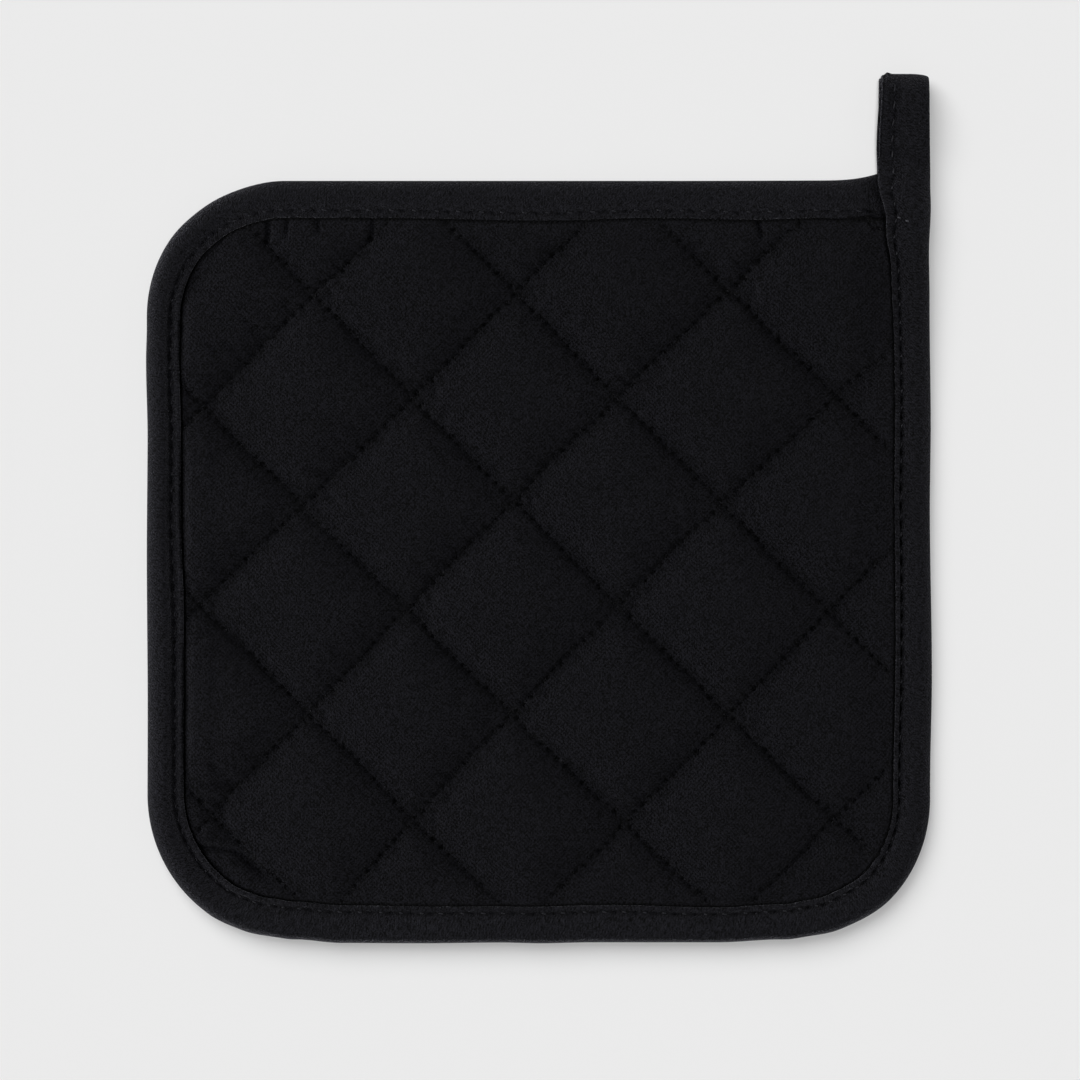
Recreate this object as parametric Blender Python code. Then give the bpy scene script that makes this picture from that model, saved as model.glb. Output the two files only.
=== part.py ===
"""Quilted pot holder: a filled pad quilted in diamonds, its edge binding and its hanging loop.

Metres, +Z up. The pad lies face up on z = 0, and +Y is the side with the loop. The origin is the
middle of the footprint of the whole thing, on the surface that it lies on.
"""

import math

import bmesh
import bpy
from mathutils import Vector

MM = 0.001

# Outline, along the binding's folded edge
HALF_WIDTH = 101.5 * MM
TOP_EDGE = 84.7 * MM
BOTTOM_EDGE = -112.5 * MM
RADIUS_TOP_LEFT = 35.3 * MM
RADIUS_BOTTOM_LEFT = 38.8 * MM
RADIUS_BOTTOM_RIGHT = 37.6 * MM
STRAIGHT_STEP = 6.5 * MM
ARC_STEPS = 12

# Gap kept between two pieces that touch
GAP = 0.3 * MM
# How far inside the fold the pad's cut edge lies
CUT_INSET = 1.7 * MM

# Binding: two layers of cloth in each wall, folded over the pad's edge
WALL = 1.0 * MM
EDGE_HEIGHT = 6.0 * MM
STITCH_DIP = 0.35 * MM
STITCH_INSET = 2.2 * MM

# Visible width of the binding: side, share of the side's length, width
BINDING_WIDTHS = (
    ("top", 0.05, 9.9 * MM),
    ("top", 0.20, 10.5 * MM),
    ("top", 0.38, 9.8 * MM),
    ("top", 0.55, 10.5 * MM),
    ("top", 0.85, 9.8 * MM),
    ("top_left", 0.50, 9.3 * MM),
    ("left", 0.10, 8.6 * MM),
    ("left", 0.35, 9.0 * MM),
    ("left", 0.62, 9.8 * MM),
    ("left", 0.88, 9.5 * MM),
    ("bottom_left", 0.50, 10.3 * MM),
    ("bottom", 0.10, 9.9 * MM),
    ("bottom", 0.40, 9.5 * MM),
    ("bottom", 0.65, 9.8 * MM),
    ("bottom", 0.85, 9.2 * MM),
    ("bottom_right", 0.50, 9.8 * MM),
    ("right", 0.15, 9.6 * MM),
    ("right", 0.68, 9.5 * MM),
    ("right", 0.86, 10.2 * MM),
    ("right", 0.935, 11.8 * MM),
    ("right", 1.00, 13.7 * MM),
)

# The top edge rises where the tape pulls it up towards the loop
CORNER_RISE = 1.8 * MM
CORNER_RISE_START = 72.0 * MM
# Where the top strip ends, against the inner edge of the right strip
TOP_STRIP_END = 87.1 * MM
TOP_STRIP_SLANT = 0.22

# The tape closes as it leaves the pad: Y, height over both walls, height of its underside
CLOSING = (
    (84.2 * MM, 6.0 * MM, 0.0 * MM),
    (86.4 * MM, 5.0 * MM, 0.9 * MM),
    (89.0 * MM, 3.3 * MM, 2.2 * MM),
    (92.0 * MM, 2.3 * MM, 3.0 * MM),
)

# The square corner lies on the loop's tucked end
CORNER_LIFT = 2.3 * MM
LIFT_REACH = 48.0 * MM
LIFT_LEFT = 86.0 * MM
LIFT_LOW = 72.5 * MM

# Hanging loop: the tape, closed and turned back under the corner
TAPE_THICKNESS = 2.0 * MM
TAPE_LEFT = 87.3 * MM
TAPE_RIGHT = 101.2 * MM
TAPE_TUCK = 73.5 * MM
# Middle line of the tape seen from the side: Y, Z
LOOP_LINE = (
    (92.3 * MM, 6.45 * MM),
    (96.0 * MM, 7.45 * MM),
    (100.0 * MM, 8.35 * MM),
    (104.0 * MM, 8.75 * MM),
    (107.4 * MM, 8.35 * MM),
    (110.0 * MM, 7.10 * MM),
    (111.4 * MM, 5.10 * MM),
    (111.2 * MM, 3.20 * MM),
    (109.6 * MM, 1.75 * MM),
    (107.0 * MM, 1.10 * MM),
)
LOOP_FLAT_START = 104.0 * MM
LOOP_SMOOTHING = 3
LOOP_CORNER = 1.2 * MM

# Pad
CROWN_TOP = 8.4 * MM
SEAM_TOP = 5.1 * MM
SEAM_BOTTOM = 1.9 * MM
UNDERSIDE_FULLNESS = 2.95 * MM
EDGE_RUN = 10.0 * MM
BORDER_RUN = 15.0 * MM
PUFF_FLATNESS = 2.5
PUFF_SHARPNESS = 0.6

# Quilting seams that fall to the right: value of x + y at the seam's upper end, middle and lower end
FALLING_SEAMS = (
    (-216.0 * MM, -216.0 * MM, -216.0 * MM),
    (-164.4 * MM, -164.0 * MM, -164.4 * MM),
    (-112.3 * MM, -112.9 * MM, -112.6 * MM),
    (-60.8 * MM, -60.6 * MM, -58.6 * MM),
    (-2.4 * MM, -4.8 * MM, -4.2 * MM),
    (51.2 * MM, 48.3 * MM, 48.4 * MM),
    (105.5 * MM, 105.2 * MM, 105.8 * MM),
    (159.2 * MM, 159.2 * MM, 159.2 * MM),
    (213.0 * MM, 213.0 * MM, 213.0 * MM),
)
# Quilting seams that rise to the right: value of x - y at the seam's lower end, middle and upper end
RISING_SEAMS = (
    (-166.5 * MM, -166.5 * MM, -166.5 * MM),
    (-113.2 * MM, -113.2 * MM, -113.2 * MM),
    (-63.0 * MM, -61.6 * MM, -60.8 * MM),
    (-5.4 * MM, -8.6 * MM, -6.4 * MM),
    (49.8 * MM, 45.2 * MM, 50.5 * MM),
    (104.5 * MM, 102.5 * MM, 100.5 * MM),
    (157.0 * MM, 156.5 * MM, 156.5 * MM),
    (210.0 * MM, 210.0 * MM, 210.0 * MM),
)
SEAM_HALF_RUN = 150.0 * MM
# Shares of a diamond at which its surface is divided
PUFF_DIVISIONS = (0.0, 0.06, 0.2, 0.4, 0.6, 0.8, 0.94)
# Points nearer than this share of a diamond are one point
SMALLEST_DIVISION = 0.012

BLACK_COTTON = (0.012, 0.012, 0.014, 1.0)
BLACK_TAPE = (0.014, 0.014, 0.016, 1.0)


def smooth(value):
    """Ease from 0 to 1 as value goes from 0 to 1."""
    held = min(1.0, max(0.0, value))
    return held * held * (3.0 - 2.0 * held)


def from_table(rows, key):
    """Ease between the rows of a table whose first column is the key."""
    if key <= rows[0][0]:
        return rows[0][1:]
    for low, high in zip(rows, rows[1:]):
        if key <= high[0]:
            share = smooth((key - low[0]) / (high[0] - low[0]))
            return tuple(a + (b - a) * share for a, b in zip(low[1:], high[1:]))
    return rows[-1][1:]


def lift(x, y):
    """Height by which the square corner stands off the surface at a place."""
    away = math.hypot(max(0.0, LIFT_LEFT - x), max(0.0, LIFT_LOW - y))
    return CORNER_LIFT * (1.0 - smooth(away / LIFT_REACH))


# ---------------------------------------------------------------- outline


def straight(name, start, end):
    """Points along a straight side, its end left to the next piece of the outline."""
    run = end - start
    count = max(1, round(run.length / STRAIGHT_STEP))
    inward = Vector((-run.y, run.x)).normalized()
    return [(name, i / count, start + run * (i / count), inward) for i in range(count)]


def arc(name, centre, radius, first_angle):
    """Points along a quarter turn, anticlockwise, its end left to the next piece."""
    points = []
    for i in range(ARC_STEPS):
        angle = math.radians(first_angle + 90.0 * i / ARC_STEPS)
        outward = Vector((math.cos(angle), math.sin(angle)))
        points.append((name, i / ARC_STEPS, centre + outward * radius, -outward))
    return points


def outline():
    """The folded edge, from the square corner anticlockwise back to it."""
    left, right = -HALF_WIDTH, HALF_WIDTH
    top, bottom = TOP_EDGE, BOTTOM_EDGE
    r1, r2, r3 = RADIUS_TOP_LEFT, RADIUS_BOTTOM_LEFT, RADIUS_BOTTOM_RIGHT
    rows = []
    rows += straight("top", Vector((TOP_STRIP_END, top)), Vector((left + r1, top)))
    rows += arc("top_left", Vector((left + r1, top - r1)), r1, 90.0)
    rows += straight("left", Vector((left, top - r1)), Vector((left, bottom + r2)))
    rows += arc("bottom_left", Vector((left + r2, bottom + r2)), r2, 180.0)
    rows += straight("bottom", Vector((left + r2, bottom)), Vector((right - r3, bottom)))
    rows += arc("bottom_right", Vector((right - r3, bottom + r3)), r3, 270.0)
    rows += straight("right", Vector((right, bottom + r3)), Vector((right, CLOSING[0][0])))
    rows += [("right", 1.0, Vector((right, CLOSING[0][0])), Vector((-1.0, 0.0)))]
    sides = {}
    for name, _, _, _ in rows:
        sides.setdefault(name, len(sides))
    widths = [(sides[name] + share, width) for name, share, width in BINDING_WIDTHS]
    stations = []
    for name, share, point, inward in rows:
        width = from_table(widths, sides[name] + share)[0]
        if name == "top":
            rise = (point.x - CORNER_RISE_START) / (TOP_STRIP_END - CORNER_RISE_START)
            point = point + Vector((0.0, CORNER_RISE * smooth(rise)))
        stations.append((name, point, inward, width))
    return stations


# ---------------------------------------------------------------- binding and loop


def make_object(name, bm, colour, roughness):
    """Turn a bmesh into an object with a material of its own."""
    bmesh.ops.recalc_face_normals(bm, faces=bm.faces[:])
    mesh = bpy.data.meshes.new(name)
    bm.to_mesh(mesh)
    bm.free()
    mesh.shade_smooth()
    mesh.set_sharp_from_angle(angle=math.radians(50.0))
    material = bpy.data.materials.new(name)
    material.use_nodes = True
    shader = material.node_tree.nodes["Principled BSDF"]
    shader.inputs["Base Color"].default_value = colour
    shader.inputs["Roughness"].default_value = roughness
    mesh.materials.append(material)
    obj = bpy.data.objects.new(name, mesh)
    bpy.context.scene.collection.objects.link(obj)
    return obj


def sweep(rings):
    """A closed solid through rings of points that correspond one to one."""
    bm = bmesh.new()
    loops = [[bm.verts.new(point) for point in ring] for ring in rings]
    for one, two in zip(loops, loops[1:]):
        for i in range(len(one)):
            j = (i + 1) % len(one)
            bm.faces.new((one[i], one[j], two[j], two[i]))
    bm.faces.new(loops[0])
    bm.faces.new(loops[-1])
    return bm


def binding_section(width, height):
    """The folded strip in section: distance in from the fold, height over its underside."""
    half = height / 2.0
    turn = min(0.4 * MM, 0.4 * (height - 2.0 * WALL))
    dip = min(STITCH_DIP, 0.2 * height)
    return (
        (width, height - 0.2 * MM),
        (width - 0.9 * MM, height - 0.05 * MM),
        (width - STITCH_INSET, height - dip),
        (width * 0.55, height),
        (width * 0.22, height - 0.05 * half),
        (width * 0.06, half + 0.68 * half),
        (0.0, half + 0.2 * half),
        (0.0, half - 0.2 * half),
        (width * 0.06, half - 0.68 * half),
        (width * 0.22, 0.0),
        (width, 0.0),
        (width, WALL),
        (WALL + turn, WALL),
        (WALL, WALL + turn),
        (WALL, height - WALL - turn),
        (WALL + turn, height - WALL),
        (width, height - WALL),
    )


def edge_binding(stations):
    """The strip that wraps the pad's edge, closed to a flat tape at its upper end."""
    rings = []
    end = stations[0][1].x
    for name, point, inward, width in stations:
        slant = 0.0
        if name == "top":
            slant = TOP_STRIP_SLANT * (1.0 - smooth((end - point.x) / (14.0 * MM)))
        ring = []
        for depth, height in binding_section(width, EDGE_HEIGHT):
            x = point.x + inward.x * depth + slant * depth
            y = point.y + inward.y * depth
            ring.append(Vector((x, y, height + lift(x, y))))
        rings.append(ring)
    width = stations[-1][3]
    for y, _, _ in CLOSING[1:]:
        height, base = from_table(CLOSING, y)
        ring = []
        for depth, level in binding_section(width, height):
            ring.append(Vector((HALF_WIDTH - depth, y, base + level + CORNER_LIFT)))
        rings.append(ring)
    return make_object("edge_binding", sweep(rings), BLACK_TAPE, 0.9)


def loop_line():
    """The loop's middle line, eased through its table and then straight along the surface."""
    points = [Vector((0.0, y, z)) for y, z in LOOP_LINE]
    flat = TAPE_THICKNESS / 2.0
    points += [Vector((0.0, LOOP_FLAT_START, flat)), Vector((0.0, LOOP_FLAT_START - 6.0 * MM, flat))]
    line = []
    for i in range(len(points) - 2):
        before = points[max(0, i - 1)]
        a, b, after = points[i], points[i + 1], points[i + 2]
        for step in range(LOOP_SMOOTHING):
            t = step / LOOP_SMOOTHING
            line.append(
                0.5
                * (
                    2.0 * a
                    + (b - before) * t
                    + (2.0 * before - 5.0 * a + 4.0 * b - after) * t * t
                    + (3.0 * a - before - 3.0 * b + after) * t * t * t
                )
            )
    run = LOOP_FLAT_START - TAPE_TUCK
    line += [Vector((0.0, LOOP_FLAT_START - run * share, flat)) for share in (0.0, 0.25, 0.5, 0.75, 1.0)]
    return line


def tape_section(narrowing):
    """The closed tape in section: place across it, height from its middle line."""
    left, right = TAPE_LEFT + narrowing, TAPE_RIGHT - narrowing
    half = TAPE_THICKNESS / 2.0
    return (
        (left, -half),
        (left, half * 0.75),
        (left + 0.6 * MM, half),
        (left + 2.4 * MM, half - 0.25 * MM),
        (left + 5.0 * MM, half),
        (right - 1.2 * MM, half),
        (right - 0.2 * MM, half * 0.5),
        (right, 0.0),
        (right - 0.2 * MM, -half * 0.5),
        (right - 1.2 * MM, -half),
    )


def hanging_loop():
    """The tape beyond the corner, turned over and tucked back under the corner."""
    line = loop_line()
    fold = max(point.y for point in line)
    rings = []
    for i, point in enumerate(line):
        along = line[min(i + 1, len(line) - 1)] - line[max(i - 1, 0)]
        if i >= len(line) - 5:
            along = Vector((0.0, -1.0, 0.0))
        along.normalize()
        out = Vector((0.0, -along.z, along.y))
        near = max(0.0, 1.0 - (fold - point.y) / LOOP_CORNER)
        section = tape_section(LOOP_CORNER * 0.5 * near * near)
        rings.append([Vector((x, point.y, point.z)) + out * rise for x, rise in section])
    return make_object("hanging_loop", sweep(rings), BLACK_TAPE, 0.9)


# ---------------------------------------------------------------- quilted pad


def seam_place(seam, along):
    """Where a seam runs at a place along it, from its ends and middle."""
    start, middle, end = seam
    t = max(-1.0, min(1.0, along / SEAM_HALF_RUN))
    return middle + 0.5 * (end - start) * t + (0.5 * (start + end) - middle) * t * t


def seam_number(seams, across, along):
    """A place's number counted in seams, with its share of the diamond it is in."""
    places = [seam_place(seam, along) for seam in seams]
    i = 0
    while i < len(places) - 2 and across > places[i + 1]:
        i += 1
    return i + (across - places[i]) / (places[i + 1] - places[i])


def to_seams(x, y):
    """Plan position to seam numbers."""
    total, difference = x + y, x - y
    return (
        seam_number(FALLING_SEAMS, total, difference),
        seam_number(RISING_SEAMS, difference, total),
    )


def number_place(seams, number, along):
    """The reverse of seam_number."""
    i = max(0, min(len(seams) - 2, int(math.floor(number))))
    low, high = seam_place(seams[i], along), seam_place(seams[i + 1], along)
    return low + (high - low) * (number - i)


def to_plan(falling, rising):
    """Seam numbers to plan position."""
    total = difference = 0.0
    for _ in range(12):
        total = number_place(FALLING_SEAMS, falling, difference)
        difference = number_place(RISING_SEAMS, rising, total)
    return (total + difference) / 2.0, (total - difference) / 2.0


def puff(number):
    """Fullness between two seams, 0 on a seam and 1 midway."""
    across = abs(2.0 * (number - math.floor(number)) - 1.0)
    return max(0.0, 1.0 - across**PUFF_FLATNESS)


def border_distance(x, y, border):
    """Distance from a place to the line where the binding begins."""
    best = 1.0
    for a, b in zip(border, border[1:] + border[:1]):
        run = b - a
        t = max(0.0, min(1.0, ((x - a.x) * run.x + (y - a.y) * run.y) / run.length_squared))
        best = min(best, math.hypot(x - a.x - run.x * t, y - a.y - run.y * t))
    return best


def pad_heights(x, y, border):
    """Underside and top of the pad at a place inside the binding."""
    inside = border_distance(x, y, border)
    falling, rising = to_seams(x, y)
    fullness = (puff(falling) * puff(rising)) ** PUFF_SHARPNESS
    outer = max(0.0, 1.0 - inside / BORDER_RUN)
    fullness *= (1.0 - outer**PUFF_FLATNESS) ** PUFF_SHARPNESS
    ease = smooth(inside / EDGE_RUN)
    edge_top = EDGE_HEIGHT - WALL - GAP
    edge_bottom = WALL + GAP
    base_top = edge_top + (SEAM_TOP - edge_top) * ease
    base_bottom = edge_bottom + (SEAM_BOTTOM - edge_bottom) * ease
    top = base_top + (CROWN_TOP - SEAM_TOP) * fullness
    bottom = max(0.0, base_bottom - UNDERSIDE_FULLNESS * fullness)
    return bottom, top


def pad_lines(stations):
    """The line along the binding's inner edge and the pad's cut edge inside it, point for point."""
    corner = None
    inner, cut = [], []
    for name, point, inward, width in stations:
        if name == "right" and point.y + 4.0 * MM > TOP_EDGE - width:
            continue
        if name == "top" and point.x > TOP_STRIP_END - 1.0 * MM:
            continue
        inner.append(point + inward * (width + GAP))
        cut.append(point + inward * CUT_INSET)
    corner_x = HALF_WIDTH - 12.1 * MM - GAP
    corner_y = TOP_EDGE - 9.9 * MM - GAP
    corner = Vector((corner_x, corner_y))
    inner = [corner] + inner
    cut = [Vector((HALF_WIDTH - CUT_INSET, TOP_EDGE - CUT_INSET))] + cut
    return inner, cut


def divided_plate(numbers):
    """A flat plate in seam numbers, divided along every seam and between the seams."""
    bm = bmesh.new()
    bm.faces.new([bm.verts.new((falling, rising, 0.0)) for falling, rising in numbers])
    for axis in range(2):
        low = math.floor(min(pair[axis] for pair in numbers))
        high = math.ceil(max(pair[axis] for pair in numbers))
        for whole in range(low, high):
            for share in PUFF_DIVISIONS:
                place, normal = [0.0, 0.0, 0.0], [0.0, 0.0, 0.0]
                place[axis] = whole + share
                normal[axis] = 1.0
                bmesh.ops.bisect_plane(
                    bm,
                    geom=bm.verts[:] + bm.edges[:] + bm.faces[:],
                    dist=1e-5,
                    plane_co=place,
                    plane_no=normal,
                )
    bmesh.ops.remove_doubles(bm, verts=bm.verts[:], dist=SMALLEST_DIVISION)
    bmesh.ops.dissolve_degenerate(bm, dist=SMALLEST_DIVISION / 3.0, edges=bm.edges[:])
    return bm


def nearest_on_border(place, inner, cut):
    """The nearest place on the binding's inner edge, and the pad's cut edge beside it."""
    best = None
    for i in range(len(inner)):
        j = (i + 1) % len(inner)
        run = inner[j] - inner[i]
        share = (place - inner[i]).dot(run) / run.length_squared
        share = max(0.0, min(1.0, share))
        on_line = inner[i].lerp(inner[j], share)
        miss = (on_line - place).length
        if best is None or miss < best[0]:
            best = (miss, on_line, cut[i].lerp(cut[j], share))
    return best[1], best[2]


def quilted_pad(stations):
    """The filled pad: a plate divided along its seams, puffed on both faces."""
    inner, cut = pad_lines(stations)
    plate = divided_plate([to_seams(point.x, point.y) for point in inner])
    places, rim_places = {}, {}
    for vert in plate.verts:
        place = Vector(to_plan(vert.co.x, vert.co.y))
        if vert.is_boundary:
            place, rim_places[vert] = nearest_on_border(place, inner, cut)
        places[vert] = place
    edge_top = EDGE_HEIGHT - WALL - GAP
    edge_bottom = WALL + GAP
    solid = bmesh.new()
    top, bottom, rim_top, rim_bottom = {}, {}, {}, {}
    for vert, (x, y) in places.items():
        low, high = pad_heights(x, y, inner)
        raised = lift(x, y)
        top[vert] = solid.verts.new((x, y, high + raised))
        bottom[vert] = solid.verts.new((x, y, low + raised))
    for vert, (x, y) in rim_places.items():
        raised = lift(x, y)
        rim_top[vert] = solid.verts.new((x, y, edge_top + raised))
        rim_bottom[vert] = solid.verts.new((x, y, edge_bottom + raised))
    for face in plate.faces:
        solid.faces.new([top[vert] for vert in face.verts])
        solid.faces.new([bottom[vert] for vert in reversed(face.verts)])
    for edge in plate.edges:
        if edge.is_boundary:
            a, b = edge.verts
            solid.faces.new((top[a], top[b], rim_top[b], rim_top[a]))
            solid.faces.new((rim_top[a], rim_top[b], rim_bottom[b], rim_bottom[a]))
            solid.faces.new((rim_bottom[a], rim_bottom[b], bottom[b], bottom[a]))
    plate.free()
    return make_object("quilted_pad", solid, BLACK_COTTON, 0.92)


def main():
    for obj in list(bpy.data.objects):
        bpy.data.objects.remove(obj, do_unlink=True)
    stations = outline()
    quilted_pad(stations)
    edge_binding(stations)
    hanging_loop()


main()
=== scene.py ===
"""Quilted pot holder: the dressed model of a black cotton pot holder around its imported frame.

Metres, +Z up. The pad lies face up on z = 0, and +Y is the side with the loop. The quilted pad,
the binding tape that carries on as the hanging loop, and the sewing thread are pieces of their
own. The tables are in millimetres. A table by side gives, for each side of the tape's folded
edge, shares of its length and what holds there.
"""

import math
from types import SimpleNamespace

import bmesh
import bpy
import numpy as np
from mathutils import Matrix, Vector


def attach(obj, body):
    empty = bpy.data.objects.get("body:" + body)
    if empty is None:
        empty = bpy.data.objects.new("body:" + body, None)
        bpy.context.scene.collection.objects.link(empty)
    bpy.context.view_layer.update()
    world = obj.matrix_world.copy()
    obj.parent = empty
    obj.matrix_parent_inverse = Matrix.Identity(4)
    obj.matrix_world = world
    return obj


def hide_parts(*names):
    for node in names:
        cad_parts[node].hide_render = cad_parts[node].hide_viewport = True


bl_info = {
    "name": "Quilted Pot Holder",
    "version": (1, 0, 0),
    "blender": (4, 5, 0),
    "location": "3D Viewport > Sidebar > Pot Holder",
    "description": "Dresses a quilted pot holder: pad, binding tape, loop and sewing thread",
    "category": "Object",
}

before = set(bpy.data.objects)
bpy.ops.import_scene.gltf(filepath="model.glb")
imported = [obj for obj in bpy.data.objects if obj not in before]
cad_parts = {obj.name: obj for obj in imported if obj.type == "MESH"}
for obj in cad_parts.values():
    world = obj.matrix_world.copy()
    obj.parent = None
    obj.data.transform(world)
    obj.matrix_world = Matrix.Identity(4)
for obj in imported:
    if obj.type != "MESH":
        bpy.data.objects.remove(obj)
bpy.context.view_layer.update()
MM = 0.001

# ---------------------------------------------------------------- named sizes

# Outline, along the binding's folded edge
HALF_WIDTH = 101.5 * MM
TOP_EDGE = 84.7 * MM
BOTTOM_EDGE = -112.5 * MM
RADIUS_TOP_LEFT = 35.3 * MM
RADIUS_BOTTOM_LEFT = 38.8 * MM
RADIUS_BOTTOM_RIGHT = 37.6 * MM
STATION_STEP = 0.8 * MM
CORNER_RISE = 1.6 * MM
CORNER_RISE_START = 72.0 * MM
TOP_STRIP_END = 87.1 * MM
TONGUE_END = 97.5 * MM
TONGUE_EDGE = 83.9 * MM
RIGHT_STRIP_END = 84.2 * MM
LOOP_TOP = 111.3 * MM

# The tongue is the tape's start, hidden under the square corner
SIDES = ("tongue", "top", "top_left", "left", "bottom_left", "bottom", "bottom_right", "right", "loop")

# Visible width of the tape, by side
TAPE_WIDTHS = {
    "top": (
        (0.00, 11.8), (0.02, 10.9), (0.05, 10.2), (0.10, 9.9),
        (0.20, 10.3), (0.38, 9.8), (0.55, 10.5), (0.85, 9.8),
    ),
    "top_left": ((0.50, 9.3),),
    "left": ((0.10, 8.8), (0.35, 8.9), (0.62, 9.7), (0.88, 9.5)),
    "bottom_left": ((0.50, 10.0),),
    "bottom": ((0.10, 9.9), (0.40, 9.5), (0.65, 9.8), (0.85, 9.2)),
    "bottom_right": ((0.50, 9.8),),
    "right": (
        (0.15, 9.65), (0.40, 9.25), (0.56, 9.4), (0.72, 9.4), (0.86, 9.95), (0.935, 11.6), (1.00, 13.6),
    ),
    "loop": ((0.12, 13.8), (0.36, 13.0), (0.50, 12.8), (1.00, 13.3)),
}
# By side: stitch length along the tape in edge stitches, how far the stitch draws the tape down,
# and how far the tape's inner edge stands up beside it
EDGE_STITCHES = {
    "top": ((0.80, 1.20, 0.65, -0.30),),
    "top_left": ((0.50, 1.00, 0.50, 0.10),),
    "left": ((0.10, 0.95, 0.60, 0.75), (0.90, 0.95, 0.60, 0.75)),
    "bottom_left": ((0.60, 1.00, 0.55, 0.15),),
    "bottom": ((0.20, 1.10, 0.65, -0.35),),
    "bottom_right": ((0.50, 1.05, 0.85, -0.25),),
    "right": ((0.20, 1.00, 0.95, 0.0), (0.96, 0.90, 0.65, -0.15)),
    "loop": (
        (0.06, 0.88, 0.40, -0.10), (0.13, 0.88, 0.33, 0.30), (0.55, 0.88, 0.33, 0.30),
        (0.65, 0.88, 0.30, 0.0), (1.00, 0.88, 0.30, 0.0),
    ),
}
# Distance of the stitching from the tape's inner edge, by side
STITCH_INSETS = {
    "top": ((0.00, 2.1), (0.80, 2.1)),
    "left": ((0.05, 2.3), (0.30, 2.25), (0.50, 2.5), (0.75, 2.2)),
    "bottom": ((0.10, 1.8), (0.90, 1.8)),
    "right": ((0.20, 1.65), (0.90, 1.9), (0.96, 2.9)),
    "loop": ((0.02, 4.0), (1.00, 3.8)),
}
# By side: where the tape's upper side begins to round down to the fold, as a share of the
# stitching's distance from the fold, and how much it is domed
TAPE_DOMES = {
    "top": ((0.90, 0.50, 0.22),),
    "left": ((0.02, 0.60, 1.30), (0.95, 0.60, 1.30)),
    "bottom": ((0.10, 0.18, 0.22), (0.95, 0.18, 0.22)),
    "right": ((0.10, 0.55, 0.25),),
}
# How far short of its whole strength the painted shade in the stitched groove falls, as a distance from the
# stitching, by side
STITCH_SHADES = {
    "top": ((0.50, 0.7),),
    "left": ((0.05, 1.2), (0.95, 1.2)),
    "bottom": ((0.05, 0.0), (0.95, 0.0)),
    "right": ((0.05, 0.35), (0.95, 0.35)),
    "loop": ((0.10, 1.4),),
}
# Unevenness of the folded edge, outwards, by side
EDGE_DRIFTS = {
    "top": ((0.98, 0.0),),
    "top_left": ((0.22, -0.35), (0.40, -0.2), (0.62, 0.2)),
    "left": ((0.02, 0.0), (0.09, 0.2), (0.25, -0.2), (0.50, 0.0), (0.82, -0.23)),
    "bottom_left": ((0.40, 0.0), (0.60, -0.05), (0.76, -0.6), (0.90, -1.1)),
    "bottom": (
        (0.00, -0.9), (0.09, 0.0), (0.25, 0.1), (0.42, -0.1),
        (0.50, 0.1), (0.60, -0.15), (0.86, -0.15), (0.99, -0.9),
    ),
    "bottom_right": ((0.10, -1.25), (0.25, -0.75), (0.52, 0.15)),
    "right": (
        (0.02, -0.27), (0.20, 0.2), (0.47, -0.33), (0.61, -0.1), (0.81, -0.5), (0.887, -0.7), (0.96, -0.25),
    ),
    "loop": ((0.00, -0.4), (0.30, -0.75)),
}
# Height over both walls and height of the underside, by side
TAPE_HEIGHTS = {
    "tongue": ((0.00, 3.0, 1.7), (1.00, 4.3, 1.15)),
    "top": ((0.06, 6.0, 0.0),),
    "right": ((0.80, 6.0, 0.0), (0.95, 6.7, 0.0), (1.00, 6.5, 0.0)),
}
# The tape beyond the corner, seen from the side: middle line's Y and Z, and thickness
LOOP_LINE = (
    (84.2, 5.55, 6.5), (86.4, 5.85, 5.2), (89.0, 6.15, 3.3), (92.3, 6.45, 2.3), (96.0, 7.45, 2.2),
    (100.0, 8.35, 2.2), (104.0, 8.75, 2.2), (107.4, 8.35, 2.2), (110.0, 7.10, 2.1),
    (111.15, 5.10, 2.1), (110.95, 3.20, 2.1), (109.6, 1.75, 2.1), (107.0, 1.12, 2.1),
    (104.0, 1.08, 2.0), (92.0, 1.05, 2.0), (80.0, 1.05, 2.0), (73.5, 1.05, 2.0),
)

# The square corner lies on the loop's tucked end
CORNER_LIFT = 2.3 * MM
LIFT_REACH = 48.0 * MM
LIFT_LEFT = 86.0 * MM
LIFT_LOW = 72.5 * MM

# Tape section, and the row of it that the stitching lies in
TAPE_CLOTH = 0.46 * MM
WALL = 1.0 * MM
GAP = 0.3 * MM
CUT_INSET = 1.9 * MM
STITCH_ROW = 11
# How far the painted shade in the stitched groove reaches from the stitching
SHADE_REACH = 1.4 * MM
# How far the pad's visible face stays from the folds above and to the right of the square corner
FACE_BELOW_FOLD = 10.4 * MM
FACE_BESIDE_FOLD = 12.4 * MM
# Stitches of the tack over the loop's end: X and Y, in millimetres
TACK_PLACES = ((93.2, 74.9), (95.3, 74.0))
TACK_STITCH = 0.85 * MM
# How far the first needle hole is from the top side's start, and the last at least from the loop's end
FIRST_HOLE = 1.5 * MM
LAST_HOLE = 2.0 * MM
# Half of what shows of an edge stitch, as a share of its length
SHOWN_ON_BINDING = 0.11
SHOWN_ON_LOOP = 0.24
# Stations up the right side and the first one of the loop
UPWARD_STATIONS = 200
BLACK_THREAD = "spun_polyester_thread_black"

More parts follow.
